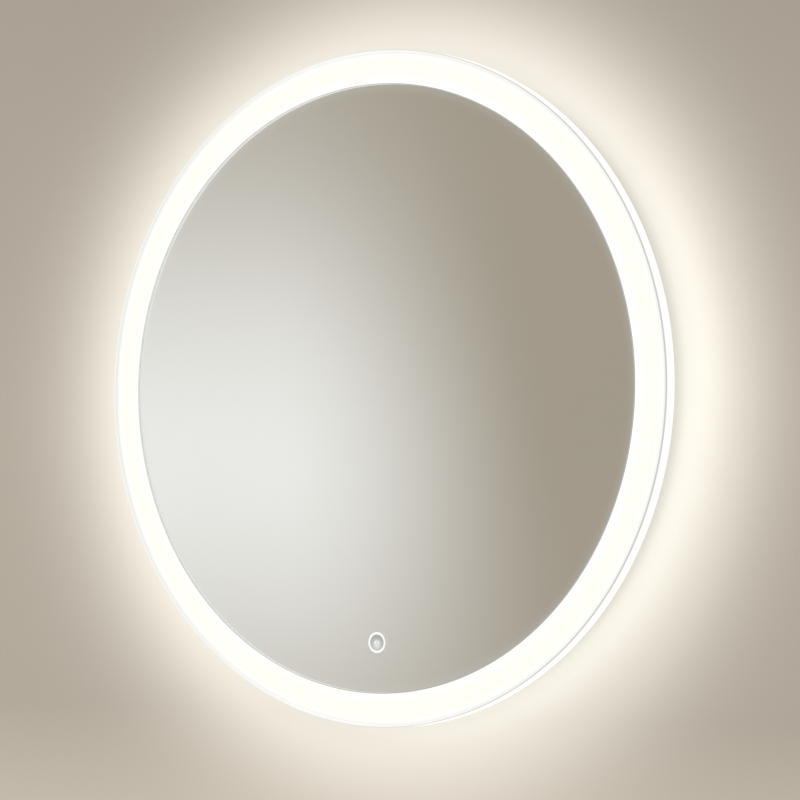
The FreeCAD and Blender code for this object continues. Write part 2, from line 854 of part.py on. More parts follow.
def clamp_screws():
    ends = chassis_back + entry_level - entry_radius
    seat = chassis_back + entry_level + entry_radius + clamp_thickness
    return Part.makeCompound([
        screw(clamp_x(), z, seat, 1, small_screw_width, small_screw_head_width, small_screw_head_height,
              seat - ends) for z in clamp_screw_heights()])


def junction_lid():
    return box_lid(junction_x, junction_z, junction_length, junction_height, junction_front - junction_wall,
                   junction_wall)


def junction_screws():
    seat = chassis_back + junction_wall
    return Part.makeCompound([small_screw(x, z, seat, 1) for x, z in junction_screw_places()])


def terminal_block():
    """Insulating block with a rib at each side of every pole."""
    back = chassis_back + junction_wall
    width = terminal_poles * terminal_pitch
    body = block(junction_x, junction_z, width, terminal_height, back, back + terminal_face_depth)
    reach = (width - terminal_rib_width) / 2
    ribs = [block(junction_x + reach * (2 * i / terminal_poles - 1), junction_z, terminal_rib_width,
                  terminal_height, back, back + terminal_depth) for i in range(terminal_poles + 1)]
    return body.fuse(ribs).removeSplitter()


def terminal_screws():
    seat = chassis_back + junction_wall + terminal_face_depth
    heads = []
    for i in range(terminal_poles):
        x = junction_x + (i - (terminal_poles - 1) / 2) * terminal_pitch
        for side in (-1, 1):
            heads.append(hexagon(small_screw_head_width, seat, seat + small_screw_head_height, x,
                                 junction_z + side * terminal_height / 4))
    return Part.makeCompound(heads)


def cable_grommet():
    """Rubber bush with its collar behind the cover."""
    collar = cover_back - grommet_collar
    front = chassis_back + grommet_collar
    return turned([
        (entry_radius, collar), (grommet_radius, collar), (grommet_radius, cover_back),
        (grommet_neck_radius, cover_back), (grommet_neck_radius, front), (entry_radius, front),
    ], entry_x, junction_z)


# Leads ------------------------------------------------------------------------------------------

def mains_lead():
    level = mains_lead_level
    start_x = junction_x + terminal_poles * terminal_pitch / 2
    end_x = driver_terminal_x(1) + driver_terminal_length / 2
    return lead([
        place(start_x, level, junction_z), place(mains_lead_x, level, junction_z),
        place(mains_lead_x, level, driver_z), place(end_x, level, driver_z),
    ], mains_lead_width, mains_lead_thickness, mains_lead_bend, "mains_lead")


def light_lead(points, bend, name):
    return lead(points, light_lead_width, light_lead_thickness, bend, name)


def supply_lead():
    level = light_lead_level
    start_x = driver_terminal_x(-1) - driver_terminal_length / 2
    return light_lead([
        place(start_x, level, driver_z), place(supply_lead_x, level, driver_z),
        place(supply_lead_x, level, supply_entry_z), place(-sensor_plug_width / 2, level, supply_entry_z),
    ], supply_lead_bend, "supply_lead")


def front_strip_lead():
    start = place(sensor_plug_width / 2, front_lead_level, strip_exit_z)
    turn, end = strip_lead_end(front_lead_level, front_strip_radius, 1)
    return light_lead([start, turn, end], light_lead_bend, "front_strip_lead")


def rear_strip_lead():
    start = place(-sensor_plug_width / 2, light_lead_level, strip_exit_z)
    turn, end = strip_lead_end(light_lead_level, chassis_radius, -1)
    return light_lead([start, turn, end], light_lead_bend, "rear_strip_lead")


def earth_lead():
    level = chassis_back + earth_level
    start = place(earth_x, level, junction_z + terminal_height / 2)
    end = place(earth_x, level, earth_screw_z - earth_tag_width)
    return lead([start, end], earth_lead_size, earth_lead_size, 0, "earth_lead")


def earth_tag():
    """Ring tag with the barrel that grips the earth lead."""
    level = chassis_back + earth_level
    back = level - earth_tag_thickness / 2
    front = level + earth_tag_thickness / 2
    palm = hexagon(earth_tag_width, back, front, earth_x, earth_screw_z)
    neck_bottom = earth_screw_z - earth_tag_width
    neck = block(earth_x, (neck_bottom + earth_screw_z) / 2, 0.5 * earth_tag_width, earth_screw_z - neck_bottom,
                 back, front)
    barrel_middle = neck_bottom - earth_barrel_length / 2
    bore_size = earth_lead_size + 2 * screw_gap
    size = bore_size + 2 * earth_barrel_wall
    barrel = block(earth_x, barrel_middle, size, earth_barrel_length, level - size / 2, level + size / 2)
    bore = block(earth_x, barrel_middle, bore_size, earth_barrel_length, level - bore_size / 2,
                 level + bore_size / 2)
    hole = screw_hole(screw_width, back, front, earth_x, earth_screw_z)
    return palm.fuse([neck, barrel]).removeSplitter().cut([bore, hole])


def earth_nut():
    front = chassis_back + earth_level - earth_tag_thickness / 2
    nut = hexagon(screw_head_width, chassis_back, front, earth_x, earth_screw_z)
    return nut.cut(screw_hole(screw_width, chassis_back, front, earth_x, earth_screw_z))


def earth_screw():
    seat = chassis_back + earth_level + earth_tag_thickness / 2
    return screw(earth_x, earth_screw_z, seat, 1, screw_width, screw_head_width, screw_head_height,
                 seat - cover_back)


def clip(start, end, width, thickness):
    """A saddle on the back cover round a straight run of a lead."""
    middle = (start + end) / 2
    along = (end - start).normalize() * (clip_length / 2)
    level = -middle.y
    slot = lead_section(middle - along, middle + along, width + 2 * clip_gap, thickness + 2 * clip_gap)
    slot_width = width + 2 * clip_gap
    front = level + slot_width / 2 + clip_wall
    shell_start = Vector(middle.x - along.x, -(chassis_back + front) / 2, middle.z - along.z)
    shell_end = Vector(middle.x + along.x, shell_start.y, middle.z + along.z)
    shell = lead_section(shell_start, shell_end, front - chassis_back, thickness + 2 * clip_wall)
    return Part.Face(shell).extrude(along * 2).cut(Part.Face(slot).extrude(along * 2))


def lead_clips():
    mains = [place(mains_lead_x, mains_lead_level, z) for z in (junction_z, driver_z)]
    supply = [place(supply_lead_x, light_lead_level, z) for z in (driver_z, supply_entry_z)]
    sensor = [place(x, light_lead_level, supply_entry_z) for x in (supply_lead_x, -sensor_width / 2)]
    return Part.makeCompound([
        clip(*mains, mains_lead_width, mains_lead_thickness),
        clip(*supply, light_lead_width, light_lead_thickness),
        clip(*sensor, light_lead_width, light_lead_thickness),
    ])


parts = {
    "mirror_glass": mirror_glass(),
    "mirror_silvering": mirror_silvering(),
    "mirror_tapes": mirror_tapes(),
    "touch_ring_lens": touch_ring_lens(),
    "touch_indicator_lights": touch_indicator_lights(),
    "sensor_board": sensor_board(),
    "sensor_plug": sensor_plug(),
    "sensor_housing": sensor_housing(),
    "front_diffuser": front_diffuser(),
    "light_rim": light_rim(),
    "reflector_tray": reflector_tray(),
    "front_light_strip": light_strip(front_strip_radius, front_lead_level, front_strip_width, front_led_count),
    "front_light_chips": light_chips(front_strip_radius, front_lead_level, front_led_count),
    "rear_light_strip": light_strip(chassis_radius, rear_strip_level, rear_strip_width, rear_led_count),
    "rear_light_chips": light_chips(chassis_radius, rear_strip_level, rear_led_count),
    "halo_diffuser": halo_diffuser(),
    "chassis_ring": chassis_ring(),
    "carrier_plate": carrier_plate(),
    "carrier_standoffs": carrier_standoffs(),
    "back_cover": back_cover(),
    "cover_screws": cover_screws(),
    "wall_bracket": wall_bracket(),
    "hanger_bracket": hanger_bracket(),
    "hanger_screws": hanger_screws(),
    "wall_bumpers": wall_bumpers(),
    "driver_base": driver_base(),
    "driver_lid": driver_lid(),
    "driver_board": driver_board(),
    "driver_transformer": driver_transformer(),
    "driver_capacitors": driver_capacitors(),
    "driver_terminals": driver_terminals(),
    "driver_screws": driver_screws(),
    "junction_base": junction_base(),
    "junction_lid": junction_lid(),
    "junction_screws": junction_screws(),
    "terminal_block": terminal_block(),
    "terminal_screws": terminal_screws(),
    "cord_clamp": cord_clamp(),
    "clamp_screws": clamp_screws(),
    "cable_grommet": cable_grommet(),
    "mains_lead": mains_lead(),
    "supply_lead": supply_lead(),
    "front_strip_lead": front_strip_lead(),
    "rear_strip_lead": rear_strip_lead(),
    "earth_lead": earth_lead(),
    "earth_tag": earth_tag(),
    "earth_nut": earth_nut(),
    "earth_screw": earth_screw(),
    "lead_clips": lead_clips(),
}

os.makedirs("parts", exist_ok=True)
for name, shape in parts.items():
    shape.exportStep(f"parts/{name}.step")
print(f"{len(parts)} nodes written")
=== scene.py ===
# %% [markdown]
# # Round lighted mirror
# A round bathroom mirror with a glowing band and a halo behind it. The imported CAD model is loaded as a
# fixed frame. Every cell after this one gives a piece its finish, or swaps a plain piece for one with a
# finer shape. Nothing that the CAD placed is moved.

# %% Load the frame
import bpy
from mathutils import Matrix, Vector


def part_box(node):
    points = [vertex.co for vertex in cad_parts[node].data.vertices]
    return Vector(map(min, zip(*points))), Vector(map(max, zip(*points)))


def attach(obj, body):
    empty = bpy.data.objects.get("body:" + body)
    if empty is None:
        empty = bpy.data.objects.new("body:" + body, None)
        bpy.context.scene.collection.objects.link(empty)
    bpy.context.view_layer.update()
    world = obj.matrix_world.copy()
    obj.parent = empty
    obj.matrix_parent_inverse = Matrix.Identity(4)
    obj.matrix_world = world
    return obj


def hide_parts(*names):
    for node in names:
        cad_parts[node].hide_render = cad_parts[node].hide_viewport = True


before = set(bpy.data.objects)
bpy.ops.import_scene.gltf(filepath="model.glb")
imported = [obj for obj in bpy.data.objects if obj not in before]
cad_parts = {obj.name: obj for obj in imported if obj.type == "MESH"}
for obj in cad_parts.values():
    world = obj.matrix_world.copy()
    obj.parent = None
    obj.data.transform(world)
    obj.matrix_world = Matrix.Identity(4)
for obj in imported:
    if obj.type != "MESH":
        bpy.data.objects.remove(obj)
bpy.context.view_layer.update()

# %% [markdown]
# The main pieces are discs and rings round one axis, which is square to the wall. Their sizes could be
# typed in again, but the frame has them already, so they are read from it and follow the CAD. "Out" is the
# distance from the wall towards the room, which is minus Y.

# %% Measures from the frame
import math
import bmesh
import bpy
import mathutils

MM = 0.001


def ring_sizes(node):
    """The radius of a round CAD node, and how far out its back and its front lie."""
    low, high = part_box(node)
    return (high.x - low.x) / 2, -high.y, -low.y


glass_low, glass_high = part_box("mirror_glass")
centre_x = (glass_low.x + glass_high.x) / 2
centre_z = (glass_low.z + glass_high.z) / 2
glass_radius, glass_back, glass_front = ring_sizes("mirror_glass")
rim_radius, rim_back, rim_front = ring_sizes("light_rim")
band_radius, band_back, band_face = ring_sizes("front_diffuser")
halo_radius, halo_back, halo_front = ring_sizes("halo_diffuser")
touch_low, touch_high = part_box("touch_ring_lens")
touch_z = (touch_low.z + touch_high.z) / 2
print(f"glass radius {glass_radius:.4f}, rim radius {rim_radius:.4f}, rim front {rim_front:.4f} m out")

# %% [markdown]
# ## Helpers for finishes
# A finish in Blender is a small tree of nodes. It could be drawn by hand in the editor, but a written tree
# can be read and changed. These helpers keep each tree short: `add` makes a node, `join` wires a socket or
# writes a value to it, `fix` writes several fixed values, and `new_finish` starts a finish with its shader.

# %% Nodes and sockets
def add(tree, kind, **settings):
    made = tree.nodes.new(kind)
    for key, value in settings.items():
        setattr(made, key, value)
    return made


def join(tree, value, socket):
    if isinstance(value, bpy.types.NodeSocket):
        tree.links.new(value, socket)
    elif value is not None:
        socket.default_value = value


def fix(node, **values):
    """Writes fixed values to inputs. An underscore stands for a space in an input's name."""
    for name, value in values.items():
        node.inputs[name.replace("_", " ")].default_value = value


def new_finish(name):
    material = bpy.data.materials.new(name)
    material.use_nodes = True
    tree = material.node_tree
    return material, tree, tree.nodes["Principled BSDF"]


trial_finish = new_finish("trial")[0]
print("a new finish starts with", [node.name for node in trial_finish.node_tree.nodes])
bpy.data.materials.remove(trial_finish)

# %% [markdown]
# A pattern is a sum that the shader works out at every point and turns into a colour, a gloss or a height.
# `ramp` does most of the work: it maps a stretch of one number to a stretch of another, with the soft ends
# that real edges and glows have. Colours are written as a picture shows them, from 0 to 255, because that
# is how a maker compares them with a photograph.

# %% Sums and colours
BLACK = (0.0, 0.0, 0.0, 1.0)


def maths(tree, operation, a, b=None, c=None):
    made = add(tree, "ShaderNodeMath", operation=operation)
    for value, socket in zip((a, b, c), made.inputs):
        join(tree, value, socket)
    return made.outputs[0]


def ramp(tree, value, low, high, start=0.0, end=1.0, smooth=True):
    """Maps value from low..high to start..end."""
    made = add(tree, "ShaderNodeMapRange", interpolation_type="SMOOTHSTEP" if smooth else "LINEAR")
    ends = {"Value": value, "From Min": low, "From Max": high, "To Min": start, "To Max": end}
    for name, setting in ends.items():
        join(tree, setting, made.inputs[name])
    return made.outputs["Result"]


def blend_colour(tree, share, a, b):
    made = add(tree, "ShaderNodeMix", data_type="RGBA")
    join(tree, share, made.inputs[0])
    join(tree, a, made.inputs[6])
    join(tree, b, made.inputs[7])
    return made.outputs[2]


def colour(red, green, blue):
    """A shader colour from values as a picture shows them, 0 to 255."""
    return tuple(((v / 255 + 0.055) / 1.055) ** 2.4 if v > 10 else v / 255 / 12.92
                 for v in (red, green, blue)) + (1.0,)


print("warm white as a shader colour:", [round(v, 3) for v in colour(255, 250, 240)])

# %% [markdown]
# ## The mirror's glass
# The glass is a clear disc, 4 mm thick, with polished faces. It could have no roughness at all, but real
# float glass scatters a trace of light. So faint noise on the object's own coordinates, in metres, varies
# its gloss. Such noise stays put when the camera moves.

# %% Clear glass
POLISH = 0.004


def object_place(tree):
    return add(tree, "ShaderNodeTexCoord").outputs["Object"]


def speckle(tree, scale, stretch=(1.0, 1.0, 1.0), seed=0.0):
    """Noise on the object's coordinates, about 0.5 on average."""
    mapping = add(tree, "ShaderNodeMapping")
    join(tree, object_place(tree), mapping.inputs["Vector"])
    fix(mapping, Scale=stretch, Location=(seed, seed, seed))
    noise = add(tree, "ShaderNodeTexNoise")
    join(tree, mapping.outputs[0], noise.inputs["Vector"])
    fix(noise, Scale=scale, Detail=3.0)
    return noise.outputs["Fac"]


def clear_finish():
    material, tree, shader = new_finish("clear_glass")
    fix(shader, Base_Color=colour(250, 252, 252), Transmission_Weight=1.0, IOR=1.5)
    join(tree, ramp(tree, speckle(tree, 30.0), 0.35, 0.75, 0.0, POLISH), shader.inputs["Roughness"])
    return material


clear_glass = clear_finish()
print("clear glass:", len(clear_glass.node_tree.nodes), "nodes")

# %% [markdown]
# Most patterns on the mirror follow its axis. `place_on_mirror` gives three useful numbers at every point:
# the distance from the axis, the angle round it and the distance out from the wall.

# %% Places on the mirror
def split(tree, place):
    """The x, y and z of a place, as three outputs."""
    parts = add(tree, "ShaderNodeSeparateXYZ")
    join(tree, place, parts.inputs[0])
    return parts.outputs


def length_of(tree, a, b):
    """The length of the slanting side over two sides that stand at a right angle."""
    return maths(tree, "SQRT", maths(tree, "MULTIPLY_ADD", a, a, maths(tree, "MULTIPLY", b, b)))


def place_on_mirror(tree):
    moved = add(tree, "ShaderNodeVectorMath", operation="SUBTRACT")
    join(tree, object_place(tree), moved.inputs[0])
    moved.inputs[1].default_value = (centre_x, 0.0, centre_z)
    x, y, z = split(tree, moved.outputs[0])
    return length_of(tree, x, z), maths(tree, "ARCTAN2", z, x), maths(tree, "MULTIPLY", y, -1.0)


print(f"the mirror's axis: x {centre_x:.4f}, z {centre_z:.4f} m")

# %% [markdown]
# The edge of the disc is ground and eased, and the light of the band next to it soaks into it. It could be
# two pieces, but on the real glass it is one surface with two looks. Seen from outside, the band's light
# washes over it, and only the narrow easing stays darker. Seen through the glass, the lacquer that seals
# the silver darkens its first millimetre. The Backfacing output tells the two sides of a face apart.

# %% Ground edge
EDGE_GLOW = 0.66
EASING_GLOW = 0.05
EASING_LINE = 1.0 * MM
EASING_SOFT = 0.3 * MM
LACQUER_HEIGHT = 1.3 * MM
LACQUER_SHARE = 0.60


def bump(tree, shader, height, distance):
    made = add(tree, "ShaderNodeBump")
    join(tree, height, made.inputs["Height"])
    fix(made, Distance=distance, Strength=1.0)
    join(tree, made.outputs[0], shader.inputs["Normal"])


def shine(tree, shader, share, tone, strength):
    """Makes a finish glow in a tone, dimmed by a share from 0 to 1."""
    join(tree, blend_colour(tree, share, BLACK, tone), shader.inputs["Emission Color"])
    fix(shader, Emission_Strength=strength)


def choose(tree, switch, off, on):
    """The value off where the switch is 0, and on where it is 1."""
    return maths(tree, "ADD", maths(tree, "MULTIPLY", on, switch),
                 maths(tree, "MULTIPLY", off, maths(tree, "SUBTRACT", 1.0, switch)))


def ground_finish():
    material, tree, shader = new_finish("ground_edge")
    frosted = blend_colour(tree, speckle(tree, 1500.0), colour(168, 172, 168), colour(184, 188, 184))
    join(tree, frosted, shader.inputs["Base Color"])
    out = place_on_mirror(tree)[2]
    easing = glass_front - EASING_LINE
    lacquer = glass_back + LACQUER_HEIGHT
    outside = ramp(tree, out, easing, easing + EASING_SOFT, 1.0, EASING_GLOW / EDGE_GLOW)
    inside = ramp(tree, out, lacquer - 0.4 * MM, lacquer + 0.2 * MM, LACQUER_SHARE, 1.0)
    from_inside = add(tree, "ShaderNodeNewGeometry").outputs["Backfacing"]
    shine(tree, shader, choose(tree, from_inside, outside, inside), colour(252, 253, 248), EDGE_GLOW)
    fix(shader, Roughness=0.6)
    bump(tree, shader, speckle(tree, 4000.0), 0.01 * MM)
    return material


ground_edge = ground_finish()
print("ground edge:", len(ground_edge.node_tree.nodes), "nodes")

# %% [markdown]
# The disc could be a cylinder with a bevel. Here it is drawn as rings of points, from the back's edge over
# the easing to the front's edge, and closed by two flat faces, so that the faces and the edge can have a
# finish each. The same function draws screw heads and light chips later.

# %% Surfaces from rings of points
def turns(count):
    """The angles of a full turn in equal steps."""
    return [2 * math.pi * i / count for i in range(count)]


def surface_of(name, rings):
    """A closed surface through rings of points, each with as many points as the others."""
    shape = bmesh.new()
    rows = [[shape.verts.new(point) for point in ring] for ring in rings]
    for low, high in zip(rows, rows[1:]):
        for i in range(len(low)):
            j = (i + 1) % len(low)
            shape.faces.new((low[i], low[j], high[j], high[i]))
    shape.faces.new(rows[0])
    shape.faces.new(rows[-1])
    bmesh.ops.recalc_face_normals(shape, faces=shape.faces)
    mesh = bpy.data.meshes.new(name)
    shape.to_mesh(mesh)
    shape.free()
    return mesh


trial_prism = surface_of("trial", [[(math.cos(t), math.sin(t), z) for t in turns(6)] for z in (0, 1)])
print("a prism with six sides has", len(trial_prism.polygons), "faces")
bpy.data.meshes.remove(trial_prism)

# %% [markdown]
# Every finished piece has its place in its mesh, as the CAD nodes have, and its object stays at the origin.
# It rides on the mirror unit, the body that lifts off the wall, and stands in for the CAD node that it
# refines.

# %% Glass pane
GLASS_EASING = 0.8 * MM
GLASS_SEGMENTS = 256


def piece_of(name, mesh, *materials):
    """Puts a finished mesh in the scene, on the mirror unit."""
    mesh.materials.clear()
    for material in materials:
        mesh.materials.append(material)
    piece = bpy.data.objects.new(name, mesh)
    bpy.context.scene.collection.objects.link(piece)
    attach(piece, "mirror_unit")
    return piece


def swap_in(piece, node):
    """Lets a piece stand in for a CAD node."""
    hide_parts(node)
    print(piece.name, "stands in for", node, "with", len(piece.data.polygons), "faces")


edge_line = [(glass_radius, glass_back), (glass_radius, glass_front - GLASS_EASING),
             (glass_radius - 0.25 * GLASS_EASING, glass_front - 0.25 * GLASS_EASING),
             (glass_radius - GLASS_EASING, glass_front)]
pane_mesh = surface_of("glass_pane", [
    [(centre_x + r * math.cos(t), -out, centre_z + r * math.sin(t)) for t in turns(GLASS_SEGMENTS)]
    for r, out in edge_line])
pane = piece_of("glass_pane", pane_mesh, clear_glass, ground_edge)
for face in pane_mesh.polygons:
    on_edge = len(face.vertices) == 4
    face.material_index = int(on_edge)
    face.use_smooth = on_edge
swap_in(pane, "mirror_glass")

# %% [markdown]
# ## The silver
# A mirror's silver is a metal film on the back of the glass, with openings where the touch switch shines
# through. The openings could be cut by booleans, but a filled 2D curve is cleaner: it holds the outer
# circle, the ring's two circles and the dot's circle, and the fill leaves every second region open. The
# film's front lies a hair inside the glass, so that no air gap shows.

# %% Shape of the silver
SILVER_INSET = 0.2 * MM
SILVER_SINK = 0.02 * MM
TOUCH_RING_OUTER = 9.25 * MM
TOUCH_RING_INNER = 7.2 * MM
TOUCH_DOT = 2.2 * MM
TOUCH_SEGMENTS = 64
FACE_ROOM = mathutils.Matrix.Rotation(math.radians(90), 4, "X")


def circle_spline(curve, x, z, radius, points):
    spline = curve.splines.new("POLY")
    spline.points.add(points - 1)
    for point, turn in zip(spline.points, turns(points)):
        point.co = (x + radius * math.cos(turn), z + radius * math.sin(turn), 0.0, 1.0)
    spline.use_cyclic_u = True


def silver_mesh():
    curve = bpy.data.curves.new("silver_outline", "CURVE")
    curve.dimensions = "2D"
    curve.fill_mode = "BOTH"
    thickness = glass_back + SILVER_SINK - band_face
    curve.extrude = thickness / 2
    circle_spline(curve, centre_x, centre_z, glass_radius - SILVER_INSET, GLASS_SEGMENTS)
    for radius in (TOUCH_RING_OUTER, TOUCH_RING_INNER, TOUCH_DOT):
        circle_spline(curve, centre_x, touch_z, radius, TOUCH_SEGMENTS)
    drawn = bpy.data.objects.new("silver_outline", curve)
    mesh = bpy.data.meshes.new_from_object(drawn)
    bpy.data.objects.remove(drawn)
    mesh.transform(mathutils.Matrix.Translation((0, -(band_face + thickness / 2), 0)) @ FACE_ROOM)
    return mesh


silver_film = silver_mesh()
print("silver film:", len(silver_film.vertices), "points")

# %% [markdown]
# Two brighter spots sit side by side in the middle of the touch switch, inside a soft pool of light. The
# distance from the switch's middle, or from a point beside or below it, draws all of that.

# %% Light round the touch switch
TOUCH_POOL = 8.0 * MM
TOUCH_POOL_BELOW = 2.0 * MM
TOUCH_POOL_GLOW = 0.40
TOUCH_LAMP_ASIDE = 1.9 * MM
TOUCH_LAMP_REACH = 1.7 * MM


def from_touch(tree, aside=0.0, below=0.0):
    """Distance from a point beside or below the touch switch's middle, seen from the front."""
    place = split(tree, object_place(tree))
    across = maths(tree, "SUBTRACT", place[0], centre_x + aside)
    rise = maths(tree, "SUBTRACT", place[2], touch_z - below)
    return length_of(tree, across, rise)


def touch_lamps(tree, level):
    """Two soft spots of light side by side in the middle of the touch switch."""
    spots = [ramp(tree, from_touch(tree, aside=side), 0.3 * TOUCH_LAMP_REACH, TOUCH_LAMP_REACH, level, 0.0)
             for side in (-TOUCH_LAMP_ASIDE, TOUCH_LAMP_ASIDE)]
    return maths(tree, "MAXIMUM", *spots)


print("touch switch:", round((centre_z - touch_z) / MM), "mm below the mirror's middle")

# %% [markdown]
# The silver itself is a metal of almost no roughness. Two things set it apart from a plain mirror. The
# field inside the touch ring is cooler, and along the edge the band's light spills into the glass as a thin
# veil. The veil takes away as large a share of the reflection as it covers, or the pale parts would turn
# too bright.

# %% Silver
TOUCH_FIELD_TONE = (0.70, 0.74, 0.76, 1.0)
SILVER_LAMP_GLOW = 0.5
SPILL_WIDTH = 11 * MM
SPILL_SHARE = 0.11
SPILL_TONE = 0.78


def silver_tone(tree):
    film = blend_colour(tree, speckle(tree, 6.0), colour(246, 247, 243), colour(250, 250, 247))
    field = ramp(tree, from_touch(tree), TOUCH_RING_INNER, TOUCH_RING_INNER + 0.3 * MM)
    toned = add(tree, "ShaderNodeMix", data_type="RGBA", blend_type="MULTIPLY")
    join(tree, maths(tree, "SUBTRACT", 1.0, field), toned.inputs[0])
    join(tree, film, toned.inputs[6])
    toned.inputs[7].default_value = TOUCH_FIELD_TONE
    return toned.outputs[2]


def silver_finish():
    material, tree, shader = new_finish("silver")
    from_axis = place_on_mirror(tree)[0]
    spill = ramp(tree, from_axis, glass_radius - SPILL_WIDTH, glass_radius, 0.0, SPILL_SHARE)
    join(tree, blend_colour(tree, spill, silver_tone(tree), BLACK), shader.inputs["Base Color"])
    fix(shader, Metallic=1.0)
    join(tree, ramp(tree, speckle(tree, 25.0, seed=1.0), 0.4, 0.8, 0.0, POLISH), shader.inputs["Roughness"])
    pool = ramp(tree, from_touch(tree, below=TOUCH_POOL_BELOW), 0.0, TOUCH_POOL, TOUCH_POOL_GLOW, 0.0)
    pool = maths(tree, "MAXIMUM", pool, touch_lamps(tree, SILVER_LAMP_GLOW))
    glow = maths(tree, "MULTIPLY_ADD", spill, SPILL_TONE, pool)
    shine(tree, shader, glow, colour(250, 252, 255), 1.0)
    return material


swap_in(piece_of("silver_film", silver_film, silver_finish()), "mirror_silvering")

# %% [markdown]
# ## Turned rings with Geometry Nodes
# The opal band, its side wall and the halo cover are turned parts: one profile swept round the mirror's
# axis. Each profile is a closed line of (radius, out) corners. Moulded acrylic has no sharp corner, so a
# corner with an easing radius becomes a small arc.

# %% Eased profiles
EASING_STEPS = 4


def eased_profile(corners):
    """Corners are (radius, out, easing radius); returns the points of the closed line."""
    points = []
    for i, (r, out, easing) in enumerate(corners):
        here = mathutils.Vector((r, out))
        if easing == 0:
            points.append(here)
            continue
        before = (mathutils.Vector(corners[i - 1][:2]) - here).normalized()
        after = (mathutils.Vector(corners[(i + 1) % len(corners)][:2]) - here).normalized()
        half = before.angle(after) / 2
        centre = here + (before + after).normalized() * (easing / math.sin(half))
        start = here + before * (easing / math.tan(half)) - centre
        end = here + after * (easing / math.tan(half)) - centre
        for step in range(EASING_STEPS + 1):
            points.append(centre + start.slerp(end, step / EASING_STEPS) * easing)
    return points


print("an eased square has", len(eased_profile([(0, 0, 1), (9, 0, 1), (9, 9, 1), (0, 9, 1)])), "points")

# %% [markdown]
# A Geometry Nodes tree is a recipe that runs on a mesh. Its sizes are named inputs, and it ends in Realize
# Instances and Set Material, so that real geometry with its finish comes out. `run_tree` runs it once and
# keeps the plain mesh that comes out.

# %% Geometry Nodes helpers
def new_tree(name, **inputs):
    """A tree with named inputs, and the node that hands them over. An underscore stands for a space."""
    tree = bpy.data.node_groups.new(name, "GeometryNodeTree")
    tree.interface.new_socket("Geometry", in_out="INPUT", socket_type="NodeSocketGeometry")
    for label, kind in inputs.items():
        tree.interface.new_socket(label.replace("_", " "), in_out="INPUT", socket_type="NodeSocket" + kind)
    tree.interface.new_socket("Geometry", in_out="OUTPUT", socket_type="NodeSocketGeometry")
    return tree, add(tree, "NodeGroupInput")


def end_tree(tree, inputs, shape):
    """Turns instances into real geometry, gives it its finish and hands it on."""
    whole = add(tree, "GeometryNodeRealizeInstances")
    join(tree, shape, whole.inputs["Geometry"])
    painted = add(tree, "GeometryNodeSetMaterial")
    join(tree, whole.outputs["Geometry"], painted.inputs["Geometry"])
    join(tree, inputs.outputs["Finish"], painted.inputs["Material"])
    way_out = add(tree, "NodeGroupOutput")
    join(tree, painted.outputs["Geometry"], way_out.inputs["Geometry"])
    return tree


def evaluated_mesh(item):
    """The plain mesh of an object after its modifiers."""
    ready = item.evaluated_get(bpy.context.evaluated_depsgraph_get())
    return bpy.data.meshes.new_from_object(ready)


def run_tree(tree, base, settings):
    """Runs a Geometry Nodes tree on a mesh; settings are by the names of its inputs."""
    carrier = bpy.data.objects.new("carrier", base)
    bpy.context.scene.collection.objects.link(carrier)
    modifier = carrier.modifiers.new("tree", "NODES")
    modifier.node_group = tree
    for item in tree.interface.items_tree:
        if item.in_out == "INPUT" and item.name in settings:
            modifier[item.identifier] = settings[item.name]
    mesh = evaluated_mesh(carrier)
    bpy.data.objects.remove(carrier)
    return mesh


trial_tree = new_tree("trial", Path_radius="Float")[0]
print("sockets of a new tree:", [item.name for item in trial_tree.interface.items_tree])
bpy.data.node_groups.remove(trial_tree)

# %% [markdown]
# The rings could be made by the Spin tool or by a Screw modifier. Curve to Mesh sweeps the profile along a
# circle in one step, and its number of segments stays a named input. The way the profile runs decides
# whether the sweep comes out inside out, so every ring's faces are turned outwards afterwards. The sweep
# lies flat with the ring's back on top, and one turn stands it up with its back to the wall.

# %% Turned pieces
RING_SEGMENTS = 256
FACE_WALL = mathutils.Matrix.Rotation(math.radians(-90), 4, "X")


def turned_ring_tree():
    tree, inputs = new_tree("turned_ring", Segments="Int", Path_radius="Float", Finish="Material")
    profile = add(tree, "GeometryNodeMeshToCurve")
    join(tree, inputs.outputs["Geometry"], profile.inputs["Mesh"])
    circle = add(tree, "GeometryNodeCurvePrimitiveCircle", mode="RADIUS")
    join(tree, inputs.outputs["Segments"], circle.inputs["Resolution"])
    join(tree, inputs.outputs["Path radius"], circle.inputs["Radius"])
    sweep = add(tree, "GeometryNodeCurveToMesh")
    join(tree, circle.outputs["Curve"], sweep.inputs["Curve"])
    join(tree, profile.outputs["Curve"], sweep.inputs["Profile Curve"])
    return end_tree(tree, inputs, sweep.outputs["Mesh"])


turned_ring = turned_ring_tree()


def outward(mesh):
    """Merges doubles and points every face outwards."""
    shape = bmesh.new()
    shape.from_mesh(mesh)
    bmesh.ops.remove_doubles(shape, verts=shape.verts, dist=1e-7)
    bmesh.ops.recalc_face_normals(shape, faces=shape.faces)
    shape.to_mesh(mesh)
    shape.free()
    return mesh


def soften(mesh):
    """Smooth shading that keeps edges of more than 30 degrees crisp."""
    mesh.shade_smooth()
    mesh.set_sharp_from_angle(angle=math.radians(30))
    return mesh


